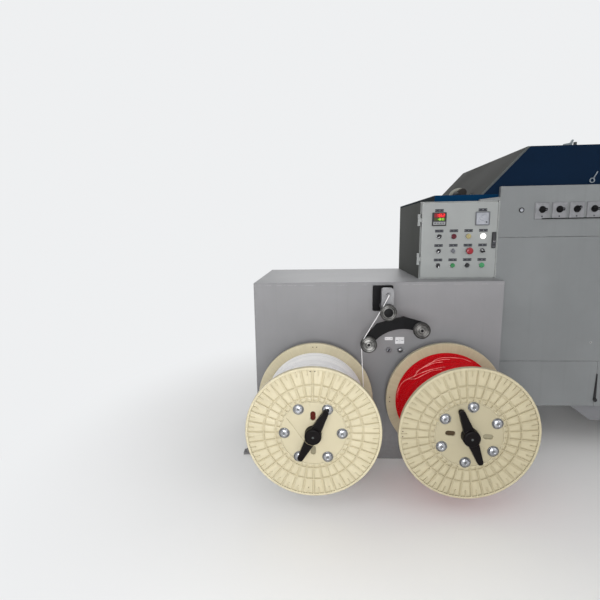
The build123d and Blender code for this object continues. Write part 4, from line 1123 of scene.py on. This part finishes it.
# hook on the hood's front and the small lever on its ridge
hookLook = {"x": 1.119, "z": 1.5078, "ring": ((0.0088, 0), (0.0088, 0.006), (0.0132, 0.006), (0.0132, 0)),
            "rod": (0.03125, 0, 0.0375, 0.0044, 0, 0.006), "turn": 61.5}
leverLook = {
    "at": (1.000, 0.198), "depth": 0.012, "stop": (0.0345, 0, 0.0098), "stopSize": (0.0125, 0.019, 0.002, 2),
    "outline": (
        (-0.025, 0.0), (0.0165, 0.0), (0.0185, 0.012), (0.0245, 0.029), (0.0175, 0.032), (0.01, 0.018),
        (0.004, 0.0152), (-0.024, 0.0105)),
}
hoodLow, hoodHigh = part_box("hood")
fittings = Shape()
hookAt = (hookLook["x"], hoodLow.y, hookLook["z"])
fittings.lathe(hookAt, hookLook["ring"], "hookSteel", 32, False)
fittings.bar(hookAt, *hookLook["rod"], "hookSteel", hookLook["turn"])
leverAt = (*leverLook["at"], hoodHigh.z)
fittings.plate(leverAt, leverLook["outline"], 0, leverLook["depth"], "fittingSteel", edge=0.0004)
stopAt = moved(leverAt, *leverLook["stop"])
fittings.plate(stopAt, roundedBox(*leverLook["stopSize"]), 0, leverLook["depth"], "bearingIron")
fittings.build("hoodFittings", "machine", "small_metal", ["hood_fittings"])

# bolts that hold the spindle bearings to the cabinet
bearingBolts = {"reach": 0.056, "face": -0.014, "washer": ((0.0115, 0), (0.0115, 0.0016), (0.009, 0.0018)),
                "head": 0.0098, "turn": 0.3, "levels": ((1, 1, 0.0017), (1, 1, 0.0075), (0.86, 0.86, 0.0086))}
hexBolts = Shape()
for x, z in reelAt.values():
    for signX in (-1, 1):
        for signZ in (-1, 1):
            bearing = (x, bearingBolts["face"], z)
            centre = moved(bearing, signX * bearingBolts["reach"], 0, signZ * bearingBolts["reach"])
            head = circle(bearingBolts["head"], 6, bearingBolts["turn"] * signX)
            hexBolts.lathe(centre, bearingBolts["washer"], "boltSteel", 24)
            hexBolts.tapered(centre, head, bearingBolts["levels"], "boltSteel")
hexBolts.build("bearingBolts", "machine", "bright_bolts")
print("cabinet fittings made")


# reel fittings: tie bolts, the ends of the drive slots, the spindle's end in the nut
boltLook = {
    "circle": 0.127, "height": 0.011, "steps": 28,
    "washer": ((0.0242, 0), (0.0242, 0.0024), (0.0234, 0.0032), (0.0204, 0.0032), (0.0196, 0.0022)),
    "dome": ((0.0198, 0.0018), (0.0198, 0.0042), (0.0184, 0.0068), (0.0154, 0.0091), (0.0112, 0.0106),
             (0.0078, 0.011), (0.0068, 0.0107), (0.006, 0.0098)),
    "socket": ((0.0062, 0.01), (0.0052, 0.0088), (0.003, 0.0082), (0.001, 0.008)),
    "finish": {"washer": "ringSteel", "dome": "boltSteel", "socket": "ringSteel"},
}
for side, (x, z) in reelAt.items():
    low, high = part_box("tie_bolts_" + side)
    bolts = Shape()
    for faceY, out in ((low.y + boltLook["height"], 1), (high.y - boltLook["height"], -1)):
        for k in range(6):
            centre = orbit((x, faceY, z), boltLook["circle"], cream[side]["turn"] + 60 * k)
            for part, finish in boltLook["finish"].items():
                rings = [(circle(radius, boltLook["steps"])[::out], out * w) for radius, w in boltLook[part]]
                bolts.rings(centre, rings, finish, capEnd=part == "socket")
    bolts.build(side + "TieBolts", "reel_" + side, "bright_bolts", ["tie_bolts_" + side])

slotLook = {
    "reach": 0.08, "size": (0.0426, 0.0226, 0.0112, 8), "depth": 0.01, "thick": 0.002, "edge": 0.001,
    # slot end plates in dark red-brown, dull cream or brown
    "left": ((90, "slotRust"), (270, "slotDull")), "right": ((-5.2, "slotDull"), (174.8, "slotBrown")),
}
for side, (x, z) in reelAt.items():
    ends = Shape()
    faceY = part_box("front_flange_" + side)[0].y + slotLook["depth"]
    for angle, finish in slotLook[side]:
        centre = orbit((x, faceY, z), slotLook["reach"], angle)
        outline = roundedBox(*slotLook["size"])
        ends.plate(centre, outline, 0, slotLook["thick"], finish, angle, slotLook["edge"])
    ends.build(side + "SlotEnds", "reel_" + side, "reel_plastic")

studLook = ((0.0052, -0.0006), (0.0052, 0.0003), (0.00312, 0.0012), (0.002, 0.0012))
for side, (x, z) in reelAt.items():
    stud = Shape()
    stud.lathe((x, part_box("wing_nut_" + side)[0].y, z), studLook, "bearingIron", 24)
    stud.build(side + "NutEnd", "reel_" + side, "black_casting")

hubLook = ((0.0112, 0), (0.022, 0), (0.022, 0.005), (0.0195, 0.008), (0.008, 0.0095), (0.002, 0.0095))
low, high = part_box("hub_pulley")
hubCap = Shape()
hubCap.lathe(((low.x + high.x) / 2, low.y, (low.z + high.z) / 2), hubLook, "armBlack", 40)
hubCap.build("hubCap", "hub_wheel", "black_casting")
print("reel and pulley fittings made")


# wound wire
winding = {
    "wire": 0.0042, "pitch": 0.0042 * 1.02, "back": -0.1145, "front": -0.4875, "rear": 0.251, "middle": 0.244,
    "frontReach": 0.248, "steps": 60, "wander": 0.0009, "edge": 0.006, "thin": 0.0017,
}


def windingReach(y):
    # outer radius of the winding along the reel
    t = (y - winding["front"]) / (winding["back"] - winding["front"])
    ends = winding["frontReach"] + (winding["rear"] - winding["frontReach"]) * t
    sag = (winding["frontReach"] + winding["rear"]) / 2 - winding["middle"]
    return ends - sag * 4 * t * (1 - t)


def wirePiece(name, paths, radius, material, body, slot, sides=6):
    shape = Shape()
    for path in paths:
        shape.tube(path, radius, material, sides)
    return shape.build(name, body, slot, smooth=80)


def layer(x, z, draw):
    # one helix from flange to flange, with the small wander of wound wire
    turns = int((winding["back"] - winding["front"]) / winding["pitch"]) - 1
    wander = [draw.uniform(-1, 1) for _ in range(turns + 3)]
    points = []
    for k in range(turns * winding["steps"] + 1):
        t = k / winding["steps"]
        whole = int(t)
        drift = (wander[whole] + (wander[whole + 1] - wander[whole]) * (t - whole)) * winding["wander"]
        y = winding["front"] + winding["wire"] * 0.6 + t * winding["pitch"] + drift
        reach = windingReach(y) - 0.0006 + abs(drift) * 0.7
        points.append(Vector(orbit((x, y, z), reach, 360 * t)))
    return points


def loose(x, z, start, sweep, y, drift, lift):
    # a strand that lies across the turns
    points = []
    steps = 40
    for k in range(steps + 1):
        t = k / steps
        place = y + drift * (t + 0.12 * sin(2 * pi * t))
        place = min(max(place, winding["front"] + winding["edge"]), winding["back"] - winding["edge"])
        reach = windingReach(place) + 0.0012 + lift * sin(pi * t) ** 1.5
        points.append(Vector(orbit((x, place, z), reach, start + sweep * t)))
    return points


def crossing(x, z, stations, lift):
    # a smooth strand through given stations, each an angle and a distance along the reel
    points = []
    steps = 8
    count = len(stations)
    for k in range(count - 1):
        before, first = stations[max(k - 1, 0)], stations[k]
        second, after = stations[k + 1], stations[min(k + 2, count - 1)]
        for j in range(steps + (k == count - 2)):
            t = j / steps
            angle, place = [
                q + ((r - p) * t + (2 * p - 5 * q + 4 * r - s) * t * t + (3 * q - p - 3 * r + s) * t ** 3) / 2
                for p, q, r, s in zip(before, first, second, after)]
            rise = lift * sin(pi * (k + t) / (count - 1)) ** 0.5 if 0 < k + t < count - 1 else -0.001
            points.append(Vector(orbit((x, place, z), windingReach(place) + rise, angle)))
    return points


strands = {
    "left": {
        "count": 12, "bulges": 2, "start": (0, 360), "seed": 3, "slot": "white_wire", "wire": "whiteWire",
        "loose": "whiteWire", "crossings": ()},
    "right": {
        "count": 3, "bulges": 0, "start": (190, 330), "seed": 5, "slot": "red_wire", "wire": "redWire",
        "loose": "looseRedSheen", "crossings": (
            (0.003, ((176, -0.15), (158.6, -0.15), (147.4, -0.19), (136.7, -0.232), (130.5, -0.217),
                     (122.8, -0.215), (115.6, -0.209), (106, -0.206), (92, -0.214))),
            (0.0024, ((140, -0.22), (136.7, -0.236), (128.4, -0.258), (119.7, -0.279), (112.7, -0.294),
                      (103, -0.306))),
            (0.0022, ((134, -0.214), (130.2, -0.21), (119.1, -0.223), (111.1, -0.224), (101, -0.24))),
            (0.002, ((121, -0.232), (110.9, -0.199), (103.6, -0.184), (93.8, -0.187), (84, -0.19),
                     (77.2, -0.184), (66, -0.196))),
            (0.0018, ((172, -0.128), (150, -0.17), (138, -0.262), (128, -0.288), (118, -0.3),
                      (108, -0.33))))},
    "sweep": (50, 170), "ends": (-0.46, -0.16), "drift": (-0.16, 0.16), "lift": (0.0004, 0.003),
    "bulgeAt": (90, 145), "bulgeSweep": 70, "bulgeEnds": (-0.46, -0.3), "bulgeDrift": (0, 0.1),
    "bulgeLift": (0.004, 0.012),
}
for side, (x, z) in reelAt.items():
    own = strands[side]
    draw = random.Random(own["seed"])
    body = "reel_" + side
    wirePiece(side + "WoundWire", [layer(x, z, draw)], winding["wire"] / 2, own["wire"], body, own["slot"])
    paths = []
    for _ in range(own["count"]):
        drawn = [draw.uniform(*span) for span in (
            own["start"], strands["sweep"], strands["ends"], strands["drift"], strands["lift"])]
        paths.append(loose(x, z, *drawn))
    for _ in range(own["bulges"]):
        # a slack turn that stands off the others
        start, y, drift, lift = [draw.uniform(*strands[key]) for key in (
            "bulgeAt", "bulgeEnds", "bulgeDrift", "bulgeLift")]
        paths.append(loose(x, z, start, strands["bulgeSweep"], y, drift, lift))
    for lift, stations in own["crossings"]:
        paths.append(crossing(x, z, stations, lift))
    wirePiece(side + "LooseWire", paths, winding["thin"], own["loose"], body, own["slot"])
print("windings made")


# the wire from the left reel over the guide pulleys
run = {"radius": 0.002, "y": -0.221, "groove": 0.0354, "hub": (0.0225, 0.879), "eye": (0.0225, -0.223, 0.963),
       "pulley": 0.04, "leaves": 4, "over": 30, "touch": 151, "sides": 8}
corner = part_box("arm_pulley_left")[0]
reel = (reelAt["left"][0], run["y"], reelAt["left"][1])
pulley = (corner.x + run["pulley"], run["y"], corner.z + run["pulley"])
hub = (run["hub"][0], run["y"], run["hub"][1])
low = Vector(orbit(reel, windingReach(run["y"]) + run["radius"], run["leaves"]))
side = Vector(moved(pulley, -run["groove"]))
lowerPath = [low.lerp(side, k / 24) for k in range(25)]
lower = wirePiece("lowerWire", [lowerPath], run["radius"], "whiteWire", None, "white_wire", run["sides"])
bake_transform(lower)
upperPath = [Vector(orbit(pulley, run["groove"], 180 - run["over"] * k / 8)) for k in range(9)]
hubTouch = Vector(orbit(hub, run["groove"], run["touch"]))
first = upperPath[-1]
upperPath += [first.lerp(hubTouch, k / 12) for k in range(1, 13)]
eye = Vector(run["eye"])
bend = Vector(moved(eye, -0.006, 0.01, -0.013))
mouth = Vector(moved(eye, out=0.0095))
for k in range(1, 17):
    t = k / 16
    upperPath.append(hubTouch * (1 - t) ** 2 + bend * 2 * t * (1 - t) + mouth * t * t)
upperPath += [Vector(moved(eye, out=0.004)), eye]
upper = wirePiece("upperWire", [upperPath], run["radius"], "whiteWire", None, "white_wire", run["sides"])
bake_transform(upper)
print("guided wire made")


threadLook = {
    "radius": 0.0007, "path": (
        (-0.4503, -0.5115, 0.4687), (-0.447, -0.514, 0.465), (-0.408, -0.535, 0.423), (-0.376, -0.552, 0.387),
        (-0.356, -0.556, 0.37), (-0.34, -0.5565, 0.364), (-0.331, -0.5552, 0.3625)),
}
threadPath = [Vector(point) for point in threadLook["path"]]
wirePiece("looseThread", [threadPath], threadLook["radius"], "threadShaded", "reel_left", "white_wire")
